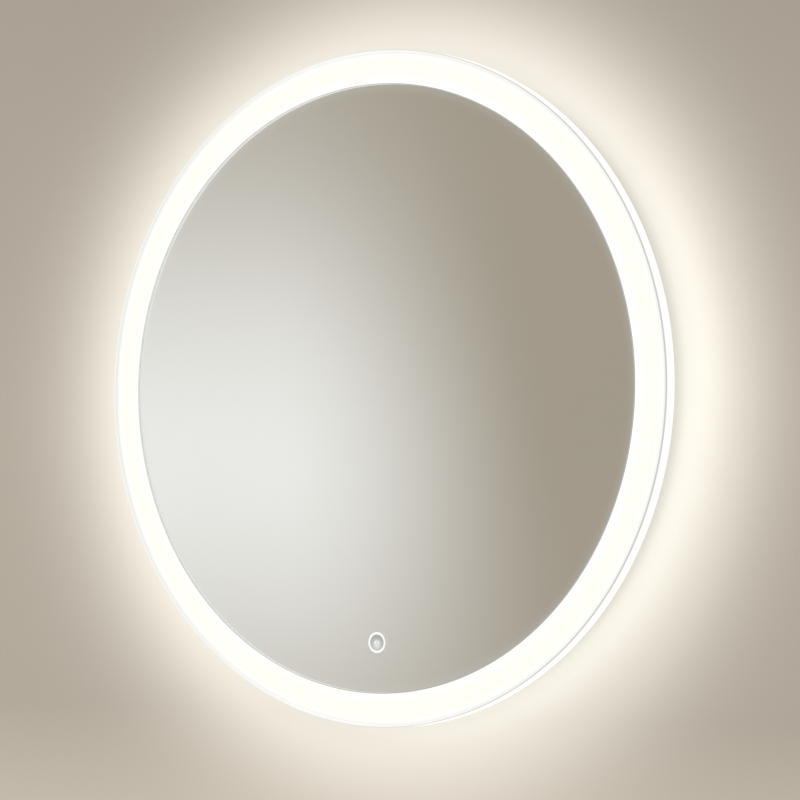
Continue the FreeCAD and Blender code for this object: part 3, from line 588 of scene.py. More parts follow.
def turned_piece(name, corners, material):
    """Sweeps an eased profile round the mirror's axis."""
    points = eased_profile(corners)
    count = len(points)
    path_radius = sum(p.x for p in points) / count
    line = bpy.data.meshes.new(name)
    line.from_pydata([(p.x - path_radius, p.y, 0.0) for p in points],
                     [(i, (i + 1) % count) for i in range(count)], [])
    mesh = run_tree(turned_ring, line, {"Segments": RING_SEGMENTS, "Path radius": path_radius,
                                        "Finish": material})
    mesh.transform(mathutils.Matrix.Translation((centre_x, 0, centre_z)) @ FACE_WALL)
    return piece_of(name, soften(outward(mesh)), material)


print("turned ring:", len(turned_ring.nodes), "nodes")

# %% [markdown]
# ## The glowing band
# The band is opal acrylic lit from behind. It could be lit by real lamps inside, but the picture would be
# full of noise, so the finish glows by itself. The camera sees it almost white, and a little greener and
# dimmer half way out, where the light strip is furthest. Its last millimetres next to the side wall are
# dimmer too, a painted shade.

# %% Opal band
BAND_GLOW = 0.86
BAND_LIP = 12 * MM
ACRYLIC_IOR = 1.49
OPAL_GRAIN = 0.004 * MM
OPAL_BODY = colour(110, 110, 108)


def roughen(tree, shader, scale, least, most):
    """A gloss that wanders between two values, because no real surface is evenly smooth."""
    join(tree, ramp(tree, speckle(tree, scale), 0.3, 0.7, least, most), shader.inputs["Roughness"])


def opal_body(tree, shader, body_tone, least, most):
    """The acrylic itself: its own colour, its gloss and a fine grain."""
    fix(shader, Base_Color=body_tone, IOR=ACRYLIC_IOR)
    roughen(tree, shader, 60.0, least, most)
    bump(tree, shader, speckle(tree, 900.0), OPAL_GRAIN)


def opal_finish(name, tones, strength, body_tone):
    """tones are (distance from the axis in metres, colour) pairs, from inside to outside."""
    material, tree, shader = new_finish(name)
    radius = place_on_mirror(tree)[0]
    glow = tones[0][1]
    for i in range(1, len(tones)):
        glow = blend_colour(tree, ramp(tree, radius, tones[i - 1][0], tones[i][0]), glow, tones[i][1])
    join(tree, glow, shader.inputs["Emission Color"])
    fix(shader, Emission_Strength=strength)
    opal_body(tree, shader, body_tone, 0.32, 0.42)
    return material


band_tones = [
    (glass_radius, colour(255, 255, 252)),
    (glass_radius + 12 * MM, colour(252, 253, 243)),
    (glass_radius + 20 * MM, colour(250, 251, 240)),
    (band_radius - 3.5 * MM, colour(253, 253, 249)),
    # Painted shade: the outer edge, next to the side wall, glows dimmer.
    (band_radius, colour(238, 239, 235)),
]
band = turned_piece("opal_band", [
    (glass_radius - BAND_LIP, band_back, 0), (band_radius, band_back, 0.3 * MM),
    (band_radius, band_face, 0.8 * MM), (glass_radius - BAND_LIP, band_face, 0),
], opal_finish("opal_band", band_tones, BAND_GLOW, OPAL_BODY))
swap_in(band, "front_diffuser")

# %% [markdown]
# ## The side wall
# The side wall is the same acrylic, with a step inside that the band rests on. Its front edge is rounded,
# and the light inside reaches that rounding least. So a fine line of painted shade runs round the front
# edge, weaker on the left, and fades into white within three millimetres. The inner wall that faces the
# band is dimmed by painted shade as well.

# %% Side wall
WALL = 1.5 * MM
STEP = 2.2 * MM
SIDE_GLOW = 0.9
EDGE_SHADE = 0.50
LEFT_EDGE_SHADE = 0.80
INNER_WALL_SHADE = 0.80
TIP_SHARE = 0.97
EDGE_FADE = 2.8 * MM


def side_finish():
    material, tree, shader = new_finish("opal_side")
    radius, angle, out = place_on_mirror(tree)
    inside = rim_radius - WALL
    # Painted shade: the inner wall facing the band glows less.
    inner_wall = ramp(tree, radius, inside + 0.05 * MM, inside + 0.3 * MM, INNER_WALL_SHADE, 1.0)
    # Painted shade: the line round the front edge glows less, most on the right.
    grey = ramp(tree, maths(tree, "COSINE", angle), -1.0, 1.0, LEFT_EDGE_SHADE, EDGE_SHADE)
    over_tip = ramp(tree, radius, rim_radius - 1.4 * MM, rim_radius - 0.3 * MM, TIP_SHARE, grey)
    down_side = ramp(tree, out, rim_front - 0.8 * MM, rim_front - EDGE_FADE, grey, 1.0)
    share = maths(tree, "MULTIPLY", inner_wall, maths(tree, "MAXIMUM", over_tip, down_side))
    shine(tree, shader, share, colour(252, 253, 248), SIDE_GLOW)
    opal_body(tree, shader, OPAL_BODY, 0.3, 0.4)
    return material


side_wall = turned_piece("opal_side_wall", [
    (rim_radius - WALL - STEP, rim_back, 0.2 * MM), (rim_radius, rim_back, 0.3 * MM),
    (rim_radius, rim_front, 0.8 * MM), (rim_radius - WALL, rim_front, 0.3 * MM),
    (rim_radius - WALL, band_back, 0), (rim_radius - WALL - STEP, band_back, 0),
], side_finish())
swap_in(side_wall, "light_rim")

# %% [markdown]
# ## The halo cover
# A thin opal ring behind the side wall hides the rear light strip, and throws a cool white halo on the
# wall. It is the same kind of turned piece as the band, with its own tones.

# %% Halo cover
HALO_WALL = 1.5 * MM
HALO_COVER_GLOW = 0.74
halo_tones = [
    (halo_radius - HALO_WALL, colour(235, 240, 246)),
    (halo_radius, colour(243, 247, 252)),
]
halo_cover = turned_piece("halo_cover", [
    (halo_radius - HALO_WALL, halo_back, 0), (halo_radius, halo_back, 0.2 * MM),
    (halo_radius, halo_front, 0.2 * MM), (halo_radius - HALO_WALL, halo_front, 0),
], opal_finish("opal_halo", halo_tones, HALO_COVER_GLOW, colour(120, 120, 120)))
swap_in(halo_cover, "halo_diffuser")

# %% [markdown]
# ## Plain finishes for the CAD nodes
# The pieces behind the mirror keep their CAD shape and get a finish. Zinc, aluminium, paint, rubber and
# plastic differ in colour, gloss and grain, but one recipe can make them all: a colour that wanders between
# two tones, and a fine grain that drives both the gloss and the bumps.

# %% Metal and paint
def plain_finish(name, dark, light, scale, rough, grain, metal=0.0, stretch=(1.0, 1.0, 1.0)):
    material, tree, shader = new_finish(name)
    tone = speckle(tree, scale, stretch=stretch)
    join(tree, blend_colour(tree, ramp(tree, tone, 0.3, 0.7), dark, light), shader.inputs["Base Color"])
    fine = speckle(tree, scale * 6, seed=0.3, stretch=stretch)
    join(tree, ramp(tree, fine, 0.3, 0.7, *rough), shader.inputs["Roughness"])
    fix(shader, Metallic=metal)
    bump(tree, shader, fine, grain)
    return material


def dress(material, *names):
    """Gives CAD nodes, which keep their shape, their finish."""
    for name in names:
        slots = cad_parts[name].data.materials
        slots.clear()
        slots.append(material)
    print(material.name, "on", ", ".join(names))


zinc = plain_finish("zinc_plated", colour(190, 192, 193), colour(204, 204, 200), 60.0, (0.28, 0.38),
                    0.006 * MM, metal=1.0)
mill = plain_finish("chassis_aluminium", colour(186, 187, 189), colour(208, 208, 209), 40.0, (0.3, 0.45),
                    0.006 * MM, metal=1.0, stretch=(1.0, 12.0, 1.0))
paint = plain_finish("white_steel", colour(228, 228, 226), colour(236, 236, 234), 300.0, (0.45, 0.6),
                     0.02 * MM)
dress(zinc, "wall_bracket", "hanger_bracket", "hanger_screws", "cover_screws", "clamp_screws",
      "driver_screws", "junction_screws", "earth_nut", "earth_screw", "earth_tag", "carrier_standoffs")
dress(mill, "chassis_ring")
dress(paint, "reflector_tray")

# %% [markdown]
# The back cover and the carrier plate are galvanised sheet, which shows zinc crystals a few millimetres
# across. A Voronoi pattern gives each crystal its tone. Real crystals have feathered edges, so noise shifts
# the place at which the pattern is read.

# %% Galvanised sheet
SPANGLE_SCALE = 150.0
SPANGLE_FEATHER = 2.2 * MM


def spangle(tree):
    """A chance tone for each zinc crystal, as red, green and blue outputs."""
    where = object_place(tree)
    drift = add(tree, "ShaderNodeTexNoise")
    join(tree, where, drift.inputs["Vector"])
    fix(drift, Scale=420.0, Detail=4.0)
    feathered = add(tree, "ShaderNodeVectorMath", operation="MULTIPLY_ADD")
    join(tree, drift.outputs["Color"], feathered.inputs[0])
    feathered.inputs[1].default_value = (SPANGLE_FEATHER,) * 3
    join(tree, where, feathered.inputs[2])
    crystals = add(tree, "ShaderNodeTexVoronoi", feature="SMOOTH_F1")
    join(tree, feathered.outputs[0], crystals.inputs["Vector"])
    fix(crystals, Scale=SPANGLE_SCALE, Smoothness=0.25)
    tone = add(tree, "ShaderNodeSeparateColor")
    join(tree, crystals.outputs["Color"], tone.inputs[0])
    return tone.outputs


def galvanised_finish():
    material, tree, shader = new_finish("galvanised_sheet")
    tone = spangle(tree)
    shade = blend_colour(tree, tone[0], colour(180, 184, 187), colour(200, 203, 204))
    rolled = speckle(tree, 260.0, stretch=(1.0, 1.0, 14.0))
    join(tree, blend_colour(tree, maths(tree, "MULTIPLY", rolled, 0.3), shade, colour(170, 173, 176)),
         shader.inputs["Base Color"])
    fix(shader, Metallic=1.0)
    join(tree, ramp(tree, tone[1], 0.0, 1.0, 0.36, 0.5, smooth=False), shader.inputs["Roughness"])
    bump(tree, shader, rolled, 0.004 * MM)
    return material


dress(galvanised_finish(), "back_cover", "carrier_plate")

# %% [markdown]
# ## Rubber, plastic and electrical parts
# The bumpers and the grommet are rubber, the tapes are foam, and the housings, plugs and leads are plastics
# of several colours. They differ only in numbers, so a list and a loop make them.

# %% Rubber, plastic, electrical parts
for name, dark, light, scale, rough, grain, nodes in (
        ("black_rubber", (28, 28, 29), (44, 44, 45), 400.0, (0.6, 0.8), 0.03 * MM,
         ("wall_bumpers", "cable_grommet")),
        ("foam_tape", (46, 46, 46), (66, 66, 65), 900.0, (0.8, 0.95), 0.05 * MM,
         ("mirror_tapes",)),
        ("white_housing", (222, 222, 218), (232, 232, 228), 250.0, (0.4, 0.55), 0.02 * MM,
         ("driver_base", "driver_lid", "junction_base", "junction_lid", "cord_clamp")),
        ("black_housing", (34, 34, 35), (48, 48, 49), 300.0, (0.4, 0.55), 0.02 * MM,
         ("sensor_housing",)),
        ("white_connector", (218, 214, 200), (232, 228, 216), 200.0, (0.35, 0.5), 0.01 * MM,
         ("sensor_plug", "driver_terminals", "terminal_block", "lead_clips")),
        ("white_insulation", (222, 221, 215), (233, 232, 227), 300.0, (0.35, 0.5), 0.01 * MM,
         ("mains_lead",)),
        ("black_insulation", (30, 30, 31), (44, 44, 45), 300.0, (0.35, 0.5), 0.01 * MM,
         ("supply_lead", "front_strip_lead", "rear_strip_lead")),
        ("earth_insulation", (52, 110, 36), (66, 128, 46), 300.0, (0.35, 0.5), 0.01 * MM,
         ("earth_lead",)),
        ("led", (236, 214, 120), (244, 226, 140), 500.0, (0.25, 0.35), 0.005 * MM,
         ("touch_indicator_lights",))):
    dress(plain_finish(name, colour(*dark), colour(*light), scale, rough, grain), *nodes)

# %% [markdown]
# ## Circuit boards
# A board is green lacquer over copper. The copper shows as slightly lighter tracks, and tinned pads stand
# out where a part is soldered. Tracks run side by side and turn by right angles. So the board is divided
# into square blocks, and chance decides for each whether its tracks run across, run upright, or give way to
# a plain field of copper. The middles of a second Voronoi pattern, with square distances, give the pads.

# %% Tracks and pads
TRACK_PITCH = 1.6 * MM
TRACK_HALF = 0.3 * MM
TRACK_BLOCK = 5 * TRACK_PITCH
UPRIGHT_ABOVE = 0.55
COPPER_ABOVE = 0.8
PAD_SCALE = 160.0


def side_by_side(tree, place):
    """Parallel tracks, one in each pitch of a coordinate."""
    return ramp(tree, maths(tree, "PINGPONG", place, TRACK_PITCH / 2), TRACK_HALF, 1.3 * TRACK_HALF, 1.0, 0.0)


def tracks(tree):
    """Tracks that run across or upright in blocks, with some blocks of plain copper."""
    place = split(tree, object_place(tree))
    across, up = place[0], place[2]
    flat = add(tree, "ShaderNodeCombineXYZ")
    join(tree, across, flat.inputs[0])
    join(tree, up, flat.inputs[1])
    blocks = add(tree, "ShaderNodeTexVoronoi", voronoi_dimensions="2D")
    join(tree, flat.outputs[0], blocks.inputs["Vector"])
    fix(blocks, Scale=1 / TRACK_BLOCK, Randomness=0.0)
    chance = add(tree, "ShaderNodeSeparateColor")
    join(tree, blocks.outputs["Color"], chance.inputs[0])
    upright = maths(tree, "GREATER_THAN", chance.outputs[0], UPRIGHT_ABOVE)
    runs = choose(tree, upright, side_by_side(tree, up), side_by_side(tree, across))
    return maths(tree, "MAXIMUM", runs, maths(tree, "GREATER_THAN", chance.outputs[1], COPPER_ABOVE))


def pads(tree):
    pattern = add(tree, "ShaderNodeTexVoronoi", feature="F1", distance="CHEBYCHEV")
    join(tree, object_place(tree), pattern.inputs["Vector"])
    fix(pattern, Scale=PAD_SCALE, Randomness=0.7)
    return ramp(tree, pattern.outputs["Distance"], 0.16, 0.2, 1.0, 0.0)


print("circuit board tracks every", round(TRACK_PITCH / MM, 1), "mm")

# %% [markdown]
# The pads are bare metal and the lacquer is not, so the pads' mask drives the colour and the metal
# together. Tracks and pads are raised by a few hundredths of a millimetre, which catches the light along
# their edges.

# %% Circuit boards
def board_finish():
    material, tree, shader = new_finish("circuit_board")
    lacquer = blend_colour(tree, speckle(tree, 350.0), colour(14, 74, 42), colour(20, 84, 50))
    track, pad = tracks(tree), pads(tree)
    tracked = blend_colour(tree, track, lacquer, colour(40, 116, 68))
    join(tree, blend_colour(tree, pad, tracked, colour(196, 196, 190)), shader.inputs["Base Color"])
    join(tree, pad, shader.inputs["Metallic"])
    roughen(tree, shader, 900.0, 0.28, 0.4)
    bump(tree, shader, maths(tree, "MAXIMUM", track, pad), 0.04 * MM)
    return material


dress(board_finish(), "driver_board", "sensor_board")

# %% [markdown]
# ## Transformer
# The transformer is a grey ferrite core round a bobbin wound with yellow tape, which shows above and below
# the core. The CAD has one solid for it. The height above the solid's middle tells the finish where the
# core ends and the tape begins, and a folded ramp draws the turns of tape.

# %% Transformer
CORE_WIDTH = 24.0 * MM
TAPE_TURN = 0.6 * MM


def transformer_finish():
    material, tree, shader = new_finish("ferrite")
    low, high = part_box("driver_transformer")
    rise = maths(tree, "SUBTRACT", split(tree, object_place(tree))[2], (low.z + high.z) / 2)
    tape = maths(tree, "GREATER_THAN", maths(tree, "ABSOLUTE", rise), CORE_WIDTH / 2)
    wound = ramp(tree, maths(tree, "PINGPONG", rise, TAPE_TURN), 0.0, 0.15 * MM)
    grey = blend_colour(tree, speckle(tree, 500.0), colour(50, 48, 46), colour(76, 73, 70))
    yellow = blend_colour(tree, wound, colour(176, 138, 30), colour(214, 178, 52))
    join(tree, blend_colour(tree, tape, grey, yellow), shader.inputs["Base Color"])
    join(tree, ramp(tree, tape, 0.0, 1.0, 0.62, 0.3), shader.inputs["Roughness"])
    bump(tree, shader, maths(tree, "MULTIPLY", wound, tape), 0.03 * MM)
    return material


dress(transformer_finish(), "driver_transformer")

# %% [markdown]
# ## Separate solids in one node
# Several CAD nodes hold a group of separate solids, such as all the screws of one kind. Walking along the
# edges from point to point finds which points belong together, and so where each solid of a group stands.

# %% Places of the solids in a group
def islands(name):
    """The boxes of the separate solids of a CAD node, as (low, high) corners."""
    shape = bmesh.new()
    shape.from_mesh(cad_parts[name].data)
    bmesh.ops.remove_doubles(shape, verts=shape.verts, dist=0.001 * MM)
    waiting = set(shape.verts)
    boxes = []
    while waiting:
        to_visit = [waiting.pop()]
        found = []
        while to_visit:
            vert = to_visit.pop()
            found.append(vert.co.copy())
            for edge in vert.link_edges:
                other = edge.other_vert(vert)
                if other in waiting:
                    waiting.remove(other)
                    to_visit.append(other)
        boxes.append(tuple(mathutils.Vector(pick(c[axis] for c in found) for axis in range(3))
                           for pick in (min, max)))
    shape.free()
    return sorted(boxes, key=lambda box: tuple(box[0]))


print("cover screws:", len(islands("cover_screws")), "solids")

# %% [markdown]
# ## Capacitors
# The round capacitor has a dark sleeve with a pale stripe, and a bare aluminium end scored with a cross.
# The film capacitor above it is a box of glossy resin. They share a node, so they share a finish, which
# tells them apart by the boxes of the two solids.

# %% Capacitors
def round_capacitor(tree, low, high, place):
    """Colour, bare end and score lines of the round capacitor, whose axis points out of the wall."""
    x, y, z = place
    half = (high.x - low.x) / 2
    across = maths(tree, "SUBTRACT", x, (low.x + high.x) / 2)
    rise = maths(tree, "SUBTRACT", z, (low.z + high.z) / 2)
    at_end = maths(tree, "LESS_THAN", y, low.y + 0.05 * MM)
    bare = maths(tree, "MULTIPLY", at_end,
                 ramp(tree, length_of(tree, across, rise), 0.78 * half, 0.8 * half, 1.0, 0.0))
    near_line = maths(tree, "MINIMUM", maths(tree, "ABSOLUTE", across), maths(tree, "ABSOLUTE", rise))
    score = ramp(tree, near_line, 0.12 * MM, 0.3 * MM, 1.0, 0.0)
    stripe = ramp(tree, across, -0.62 * half, -0.58 * half, 1.0, 0.0)
    sleeve = blend_colour(tree, stripe, colour(34, 40, 70), colour(176, 180, 190))
    metal = blend_colour(tree, score, colour(204, 205, 206), colour(120, 121, 122))
    return blend_colour(tree, bare, sleeve, metal), bare, score


def capacitor_finish():
    material, tree, shader = new_finish("capacitor_sleeve")
    round_box, film_box = sorted(islands("driver_capacitors"), key=lambda box: box[0].z)
    place = split(tree, object_place(tree))
    sleeve, bare, score = round_capacitor(tree, *round_box, place)
    is_film = maths(tree, "GREATER_THAN", place[2], (round_box[1].z + film_box[0].z) / 2)
    resin = blend_colour(tree, speckle(tree, 300.0), colour(178, 132, 30), colour(190, 146, 40))
    join(tree, blend_colour(tree, is_film, sleeve, resin), shader.inputs["Base Color"])
    join(tree, maths(tree, "MULTIPLY", bare, maths(tree, "SUBTRACT", 1.0, is_film)),
         shader.inputs["Metallic"])
    roughen(tree, shader, 600.0, 0.22, 0.34)
    bump(tree, shader, maths(tree, "MULTIPLY", maths(tree, "MULTIPLY", bare, score), -1.0), 0.1 * MM)
    return material


dress(capacitor_finish(), "driver_capacitors")

# %% [markdown]
# ## Eased edges
# Pressed sheet, moulded housings and rubber have no knife edges. The solids could be drawn again with
# rounded edges, but modifiers do it without a change to the CAD: doubles are welded, then every sharp edge
# is bevelled. On the brackets, the triangles of the wide flat sheet are joined first, or the bevel would
# follow them.

# %% Eased edges on the CAD nodes
def ease(width, *names, flatten=False):
    for name in names:
        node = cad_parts[name]
        node.modifiers.new("weld", "WELD").merge_threshold = 0.002 * MM
        if flatten:
            flat = node.modifiers.new("flat", "DECIMATE")
            flat.decimate_type = "DISSOLVE"
            flat.angle_limit = math.radians(0.5)
        rounding = node.modifiers.new("rounding", "BEVEL")
        rounding.width = width
        rounding.segments = 2
        rounding.limit_method = "ANGLE"
        rounding.angle_limit = math.radians(40)
        rounding.harden_normals = True
        rounding.use_clamp_overlap = True
    print(len(names), "nodes eased by", round(width / MM, 2), "mm")


ease(0.35 * MM, "wall_bracket", "hanger_bracket", flatten=True)
ease(0.8 * MM, "wall_bumpers")
ease(0.3 * MM, "cable_grommet", "sensor_housing", "driver_base", "driver_lid", "junction_base",
     "junction_lid")
ease(0.25 * MM, "driver_transformer", "driver_terminals", "terminal_block", "sensor_plug", "cord_clamp",
     "earth_nut")
ease(0.15 * MM, "carrier_standoffs", "earth_tag", "driver_board", "sensor_board", "lead_clips")

# %% [markdown]
# ## Screws
# The CAD's screws are plain prisms. Real ones are pan heads with a cross recess and a threaded shank. One
# screw is modelled from rings of points, and blades are taken out of its head for the recess. The blades
# could be cut by hand in edit mode, but a boolean modifier works for a head of any size.

# %% Blades that cut slots
CORNERS = ((-1, -1), (1, -1), (1, 1), (-1, 1))


def blade(half_long, half_wide, floor_z, top_z, flare=(1.0, 1.0)):
    """A flat block along X; flare widens its floor and its top along X."""
    return surface_of("blade", [[(half_long * spread * sx, half_wide * sy, z) for sx, sy in CORNERS]
                                for z, spread in zip((floor_z, top_z), flare)])


def cut_away(mesh, *blades):
    """The mesh that is left when blades are taken out of it."""
    body, *cutters = [bpy.data.objects.new("part", part) for part in (mesh, *blades)]
    for item in (body, *cutters):
        bpy.context.scene.collection.objects.link(item)
    for cutter in cutters:
        cut = body.modifiers.new("cut", "BOOLEAN")
        cut.operation = "DIFFERENCE"
        cut.solver = "EXACT"
        cut.object = cutter
    left = evaluated_mesh(body)
    for item in (body, *cutters):
        bpy.data.objects.remove(item)
    return left


trial_blade = blade(1.0, 0.1, 0.0, 1.0)
print("a blade has", len(trial_blade.polygons), "faces")
bpy.data.meshes.remove(trial_blade)

# %% [markdown]
# The thread is wound by the rings: their radius rises and falls with height and angle. Every size is a
# share of the screw's width, its head or its length, so one function makes a screw of any size. Long screws
# get a tapered tip, and two blades at a right angle make the cross. The quarter turn is written in whole
# numbers, which is exact.

# %% One screw
THREAD_PITCH_SHARE = 0.25
THREAD_DEPTH_SHARE = 0.08
RECESS_REACH_SHARE = 0.27
RECESS_WIDTH_SHARE = 0.075
RECESS_FLOOR_SHARE = 0.35
RECESS_FLARE = (0.7, 1.1)
QUARTER_TURN = mathutils.Matrix(((0, 1, 0, 0), (-1, 0, 0, 0), (0, 0, 1, 0), (0, 0, 0, 1)))
SCREW_SIDES = 24


def shank(width, length):
    """Rings of the threaded shank, from its tip up to the head's seat at zero."""
    pitch = THREAD_PITCH_SHARE * width
    depth = THREAD_DEPTH_SHARE * width
    rings = []
    rows = int(4 * length / pitch)
    for row in range(rows + 1):
        z = -length + length * row / rows
        taper = min(1.0, 0.55 + (z + length) / (1.2 * width)) if length > width else 1.0
        ring = []
        for turn in turns(SCREW_SIDES):
            phase = (z / pitch - turn / (2 * math.pi)) % 1.0
            r = taper * (width / 2 - depth * 2 * abs(phase - 0.5)) if row < rows else width / 2
            ring.append((r * math.cos(turn), r * math.sin(turn), z))
        rings.append(ring)
    return rings


def round_rings(line):
    """Rings of points from a line of (radius, height)."""
    return [[(r * math.cos(t), r * math.sin(t), z) for t in turns(SCREW_SIDES)] for r, z in line]


def screw_master(width, head_width, head_height, length):
    """A pan head screw along +Z: its seat is at zero and its shank goes down."""
    half = head_width / 2
    dome = [(half * math.cos(0.5 * math.pi * s), head_height * (0.25 + 0.75 * math.sin(0.5 * math.pi * s)))
            for s in (0.2, 0.4, 0.6, 0.75)]
    head = round_rings([(half, 0.0), (half, 0.25 * head_height)] + dome)
    arms = [blade(RECESS_REACH_SHARE * head_width, RECESS_WIDTH_SHARE * head_width,
                  RECESS_FLOOR_SHARE * head_height, 1.2 * head_height, RECESS_FLARE) for _ in range(2)]
    arms[1].transform(QUARTER_TURN)
    return cut_away(surface_of("screw", shank(width, length) + head), *arms)


print("one cover screw:", len(screw_master(4 * MM, 7 * MM, 2.2 * MM, 6 * MM).polygons), "faces")

# %% [markdown]
# A Geometry Nodes tree puts a copy of a small piece at every point of a mesh. No two screws end up turned
# alike, so each copy turns about its own axis by chance, from a fixed seed. Light chips don't turn by
# chance: they face away from the mirror's axis, so the tree has a switch for that.

# %% Copies at points, turned by chance
def scattered_tree():
    tree, inputs = new_tree("copies_at_points", Piece="Object", Most_turn="Float", Face_outwards="Bool",
                            Seed="Int", Finish="Material")
    chance = add(tree, "FunctionNodeRandomValue", data_type="FLOAT")
    low, high = [i for i in chance.inputs if i.name in ("Min", "Max") and i.type == "VALUE"][:2]
    low.default_value = 0.0
    join(tree, inputs.outputs["Most turn"], high)
    join(tree, inputs.outputs["Seed"], chance.inputs["Seed"])
    spin = add(tree, "ShaderNodeCombineXYZ")
    join(tree, [o for o in chance.outputs if o.type == "VALUE"][0], spin.inputs["Z"])
    radial = add(tree, "FunctionNodeAlignRotationToVector", axis="X", pivot_axis="Z")
    join(tree, add(tree, "GeometryNodeInputPosition").outputs[0], radial.inputs["Vector"])
    switch = add(tree, "GeometryNodeSwitch", input_type="ROTATION")
    join(tree, inputs.outputs["Face outwards"], switch.inputs["Switch"])
    join(tree, spin.outputs[0], switch.inputs["False"])
    join(tree, radial.outputs[0], switch.inputs["True"])
    piece = add(tree, "GeometryNodeObjectInfo")
    piece.inputs["As Instance"].default_value = True
    join(tree, inputs.outputs["Piece"], piece.inputs["Object"])
    placed = add(tree, "GeometryNodeInstanceOnPoints")
    join(tree, inputs.outputs["Geometry"], placed.inputs["Points"])
    join(tree, piece.outputs["Geometry"], placed.inputs["Instance"])
    join(tree, switch.outputs[0], placed.inputs["Rotation"])
    return end_tree(tree, inputs, placed.outputs[0])


copies_at_points = scattered_tree()


def copies(name, master_mesh, points, turn_into_place, material, most_turn=0.0, outwards=False, seed=1):
    """Copies of a small mesh at points of a local frame, which turn_into_place then puts in the scene."""
    master = bpy.data.objects.new("master", master_mesh)
    bpy.context.scene.collection.objects.link(master)
    dots = bpy.data.meshes.new("dots")
    dots.from_pydata([tuple(p) for p in points], [], [])
    mesh = run_tree(copies_at_points, dots, {"Piece": master, "Most turn": most_turn, "Seed": seed,
                                             "Face outwards": outwards, "Finish": material})
    bpy.data.objects.remove(master)
    mesh.transform(turn_into_place)
    return piece_of(name, soften(mesh), material)


print("copies at points:", len(copies_at_points.nodes), "nodes")

# %% [markdown]
# Each group's head width and length come from its own solids, so the copies sit where the CAD has them.
# Heads of the cover and the hanger face the wall. The screws inside face the room.

# %% Screws in their places
LARGE = 3.9 * MM
SMALL = 2.7 * MM
LARGE_HEAD = 2.2 * MM
SMALL_HEAD = 1.6 * MM
HEAD_SHARE = 0.98


def screws(name, node, width, head_height, face, seed):
    """A screw for every solid of a CAD group, with its head towards the wall or the room."""
    boxes = islands(node)
    low, high = boxes[0]
    head_width = high.x - low.x
    length = high.y - low.y - head_height
    back = face.inverted()
    points = []
    for low, high in boxes:
        seat = high.y - head_height if face is FACE_WALL else low.y + head_height
        points.append(back @ mathutils.Vector(((low.x + high.x) / 2, seat, (low.z + high.z) / 2)))
    master = screw_master(width, HEAD_SHARE * head_width, head_height, length)
    return copies(name, master, points, face, zinc, most_turn=math.pi, seed=seed)


for seed, (name, node, width, head_height, face) in enumerate((
        ("cover_screw_heads", "cover_screws", LARGE, LARGE_HEAD, FACE_WALL),
        ("hanger_screw_heads", "hanger_screws", LARGE, LARGE_HEAD, FACE_WALL),
        ("driver_fixings", "driver_screws", SMALL, SMALL_HEAD, FACE_ROOM),
        ("junction_fixings", "junction_screws", SMALL, SMALL_HEAD, FACE_ROOM),
        ("clamp_fixings", "clamp_screws", SMALL, SMALL_HEAD, FACE_ROOM),
        ("earth_fixing", "earth_screw", LARGE, LARGE_HEAD, FACE_ROOM))):
    swap_in(screws(name, node, width, head_height, face, seed), node)

# %% [markdown]
# The terminal block's screws are brass cheese heads with one straight slot. They sit flush in the block, so
# a head alone is drawn: a short turned drum with an eased edge, and a thin blade cuts its slot.

# %% Slotted terminal screws
SLOT_SHARE = 0.2
SLOT_DEPTH_SHARE = 0.45
TERMINAL_SEED = 11


def slotted_head(head_width, head_height):
    half = head_width / 2
    drum = round_rings([(half, 0.0), (half, 0.75 * head_height), (0.93 * half, 0.93 * head_height),
                        (0.8 * half, head_height)])
    slot = blade(1.2 * half, SLOT_SHARE * half, (1 - SLOT_DEPTH_SHARE) * head_height, 1.5 * head_height)
    return cut_away(surface_of("head", drum), slot)


brass = plain_finish("brass_parts", colour(190, 156, 90), colour(214, 182, 116), 300.0, (0.2, 0.35),
                     0.006 * MM, metal=1.0)
terminal_boxes = islands("terminal_screws")
terminal_low, terminal_high = terminal_boxes[0]
terminal_head = slotted_head(min(terminal_high.x - terminal_low.x, terminal_high.z - terminal_low.z),
                             terminal_high.y - terminal_low.y)
to_local = FACE_ROOM.inverted()
terminal_points = [to_local @ mathutils.Vector(((low.x + high.x) / 2, high.y, (low.z + high.z) / 2))
                   for low, high in terminal_boxes]
swap_in(copies("terminal_fixings", terminal_head, terminal_points, FACE_ROOM, brass, most_turn=math.pi,
               seed=TERMINAL_SEED), "terminal_screws")

# %% [markdown]
# ## Light chips
# A chip is a white package with a phosphor window sunk into its top. Each of the two strips has 40 of them,
# so the shape has only a few faces: rings of four points from the foot over the bevel and into the window.

# %% Shape of a light chip
CHIP_LONG = 3.5 * MM
CHIP_WIDE = 2.8 * MM
CHIP_HIGH = 0.8 * MM
CHIP_EASING = 0.25 * MM
WINDOW_SINK = 0.15 * MM


def chip_mesh():
    """A package with bevelled top edges, which faces +X and stands on its back."""
    half_long, half_wide = CHIP_LONG / 2, CHIP_WIDE / 2
    outline = ((0.0, half_long, half_wide), (CHIP_HIGH - CHIP_EASING, half_long, half_wide),
               (CHIP_HIGH, half_long - CHIP_EASING, half_wide - CHIP_EASING),
               (CHIP_HIGH, 0.62 * half_long, 0.72 * half_wide),
               (CHIP_HIGH - WINDOW_SINK, 0.56 * half_long, 0.66 * half_wide))
    return surface_of("chip", [[(x, a * along, b * across) for a, b in CORNERS]
                               for x, along, across in outline])


light_chip = chip_mesh()
print("a light chip has", len(light_chip.polygons), "faces")

# %% [markdown]
# The finish of all chips of a ring is one. It could use a UV map for each chip, but the ring's own geometry
# is enough: the angle gives the distance along the strip from the nearest chip's middle, and the distance
# out gives the distance across. The window is yellow phosphor, and a tinned contact shows at each end.

# %% Finish of the light chips
CHIP_COUNT = 40
CHIP_PITCH = 2 * math.pi * glass_radius / CHIP_COUNT
CHIP_GLOW = 0.5
PATCH_SOFT = 0.1 * MM


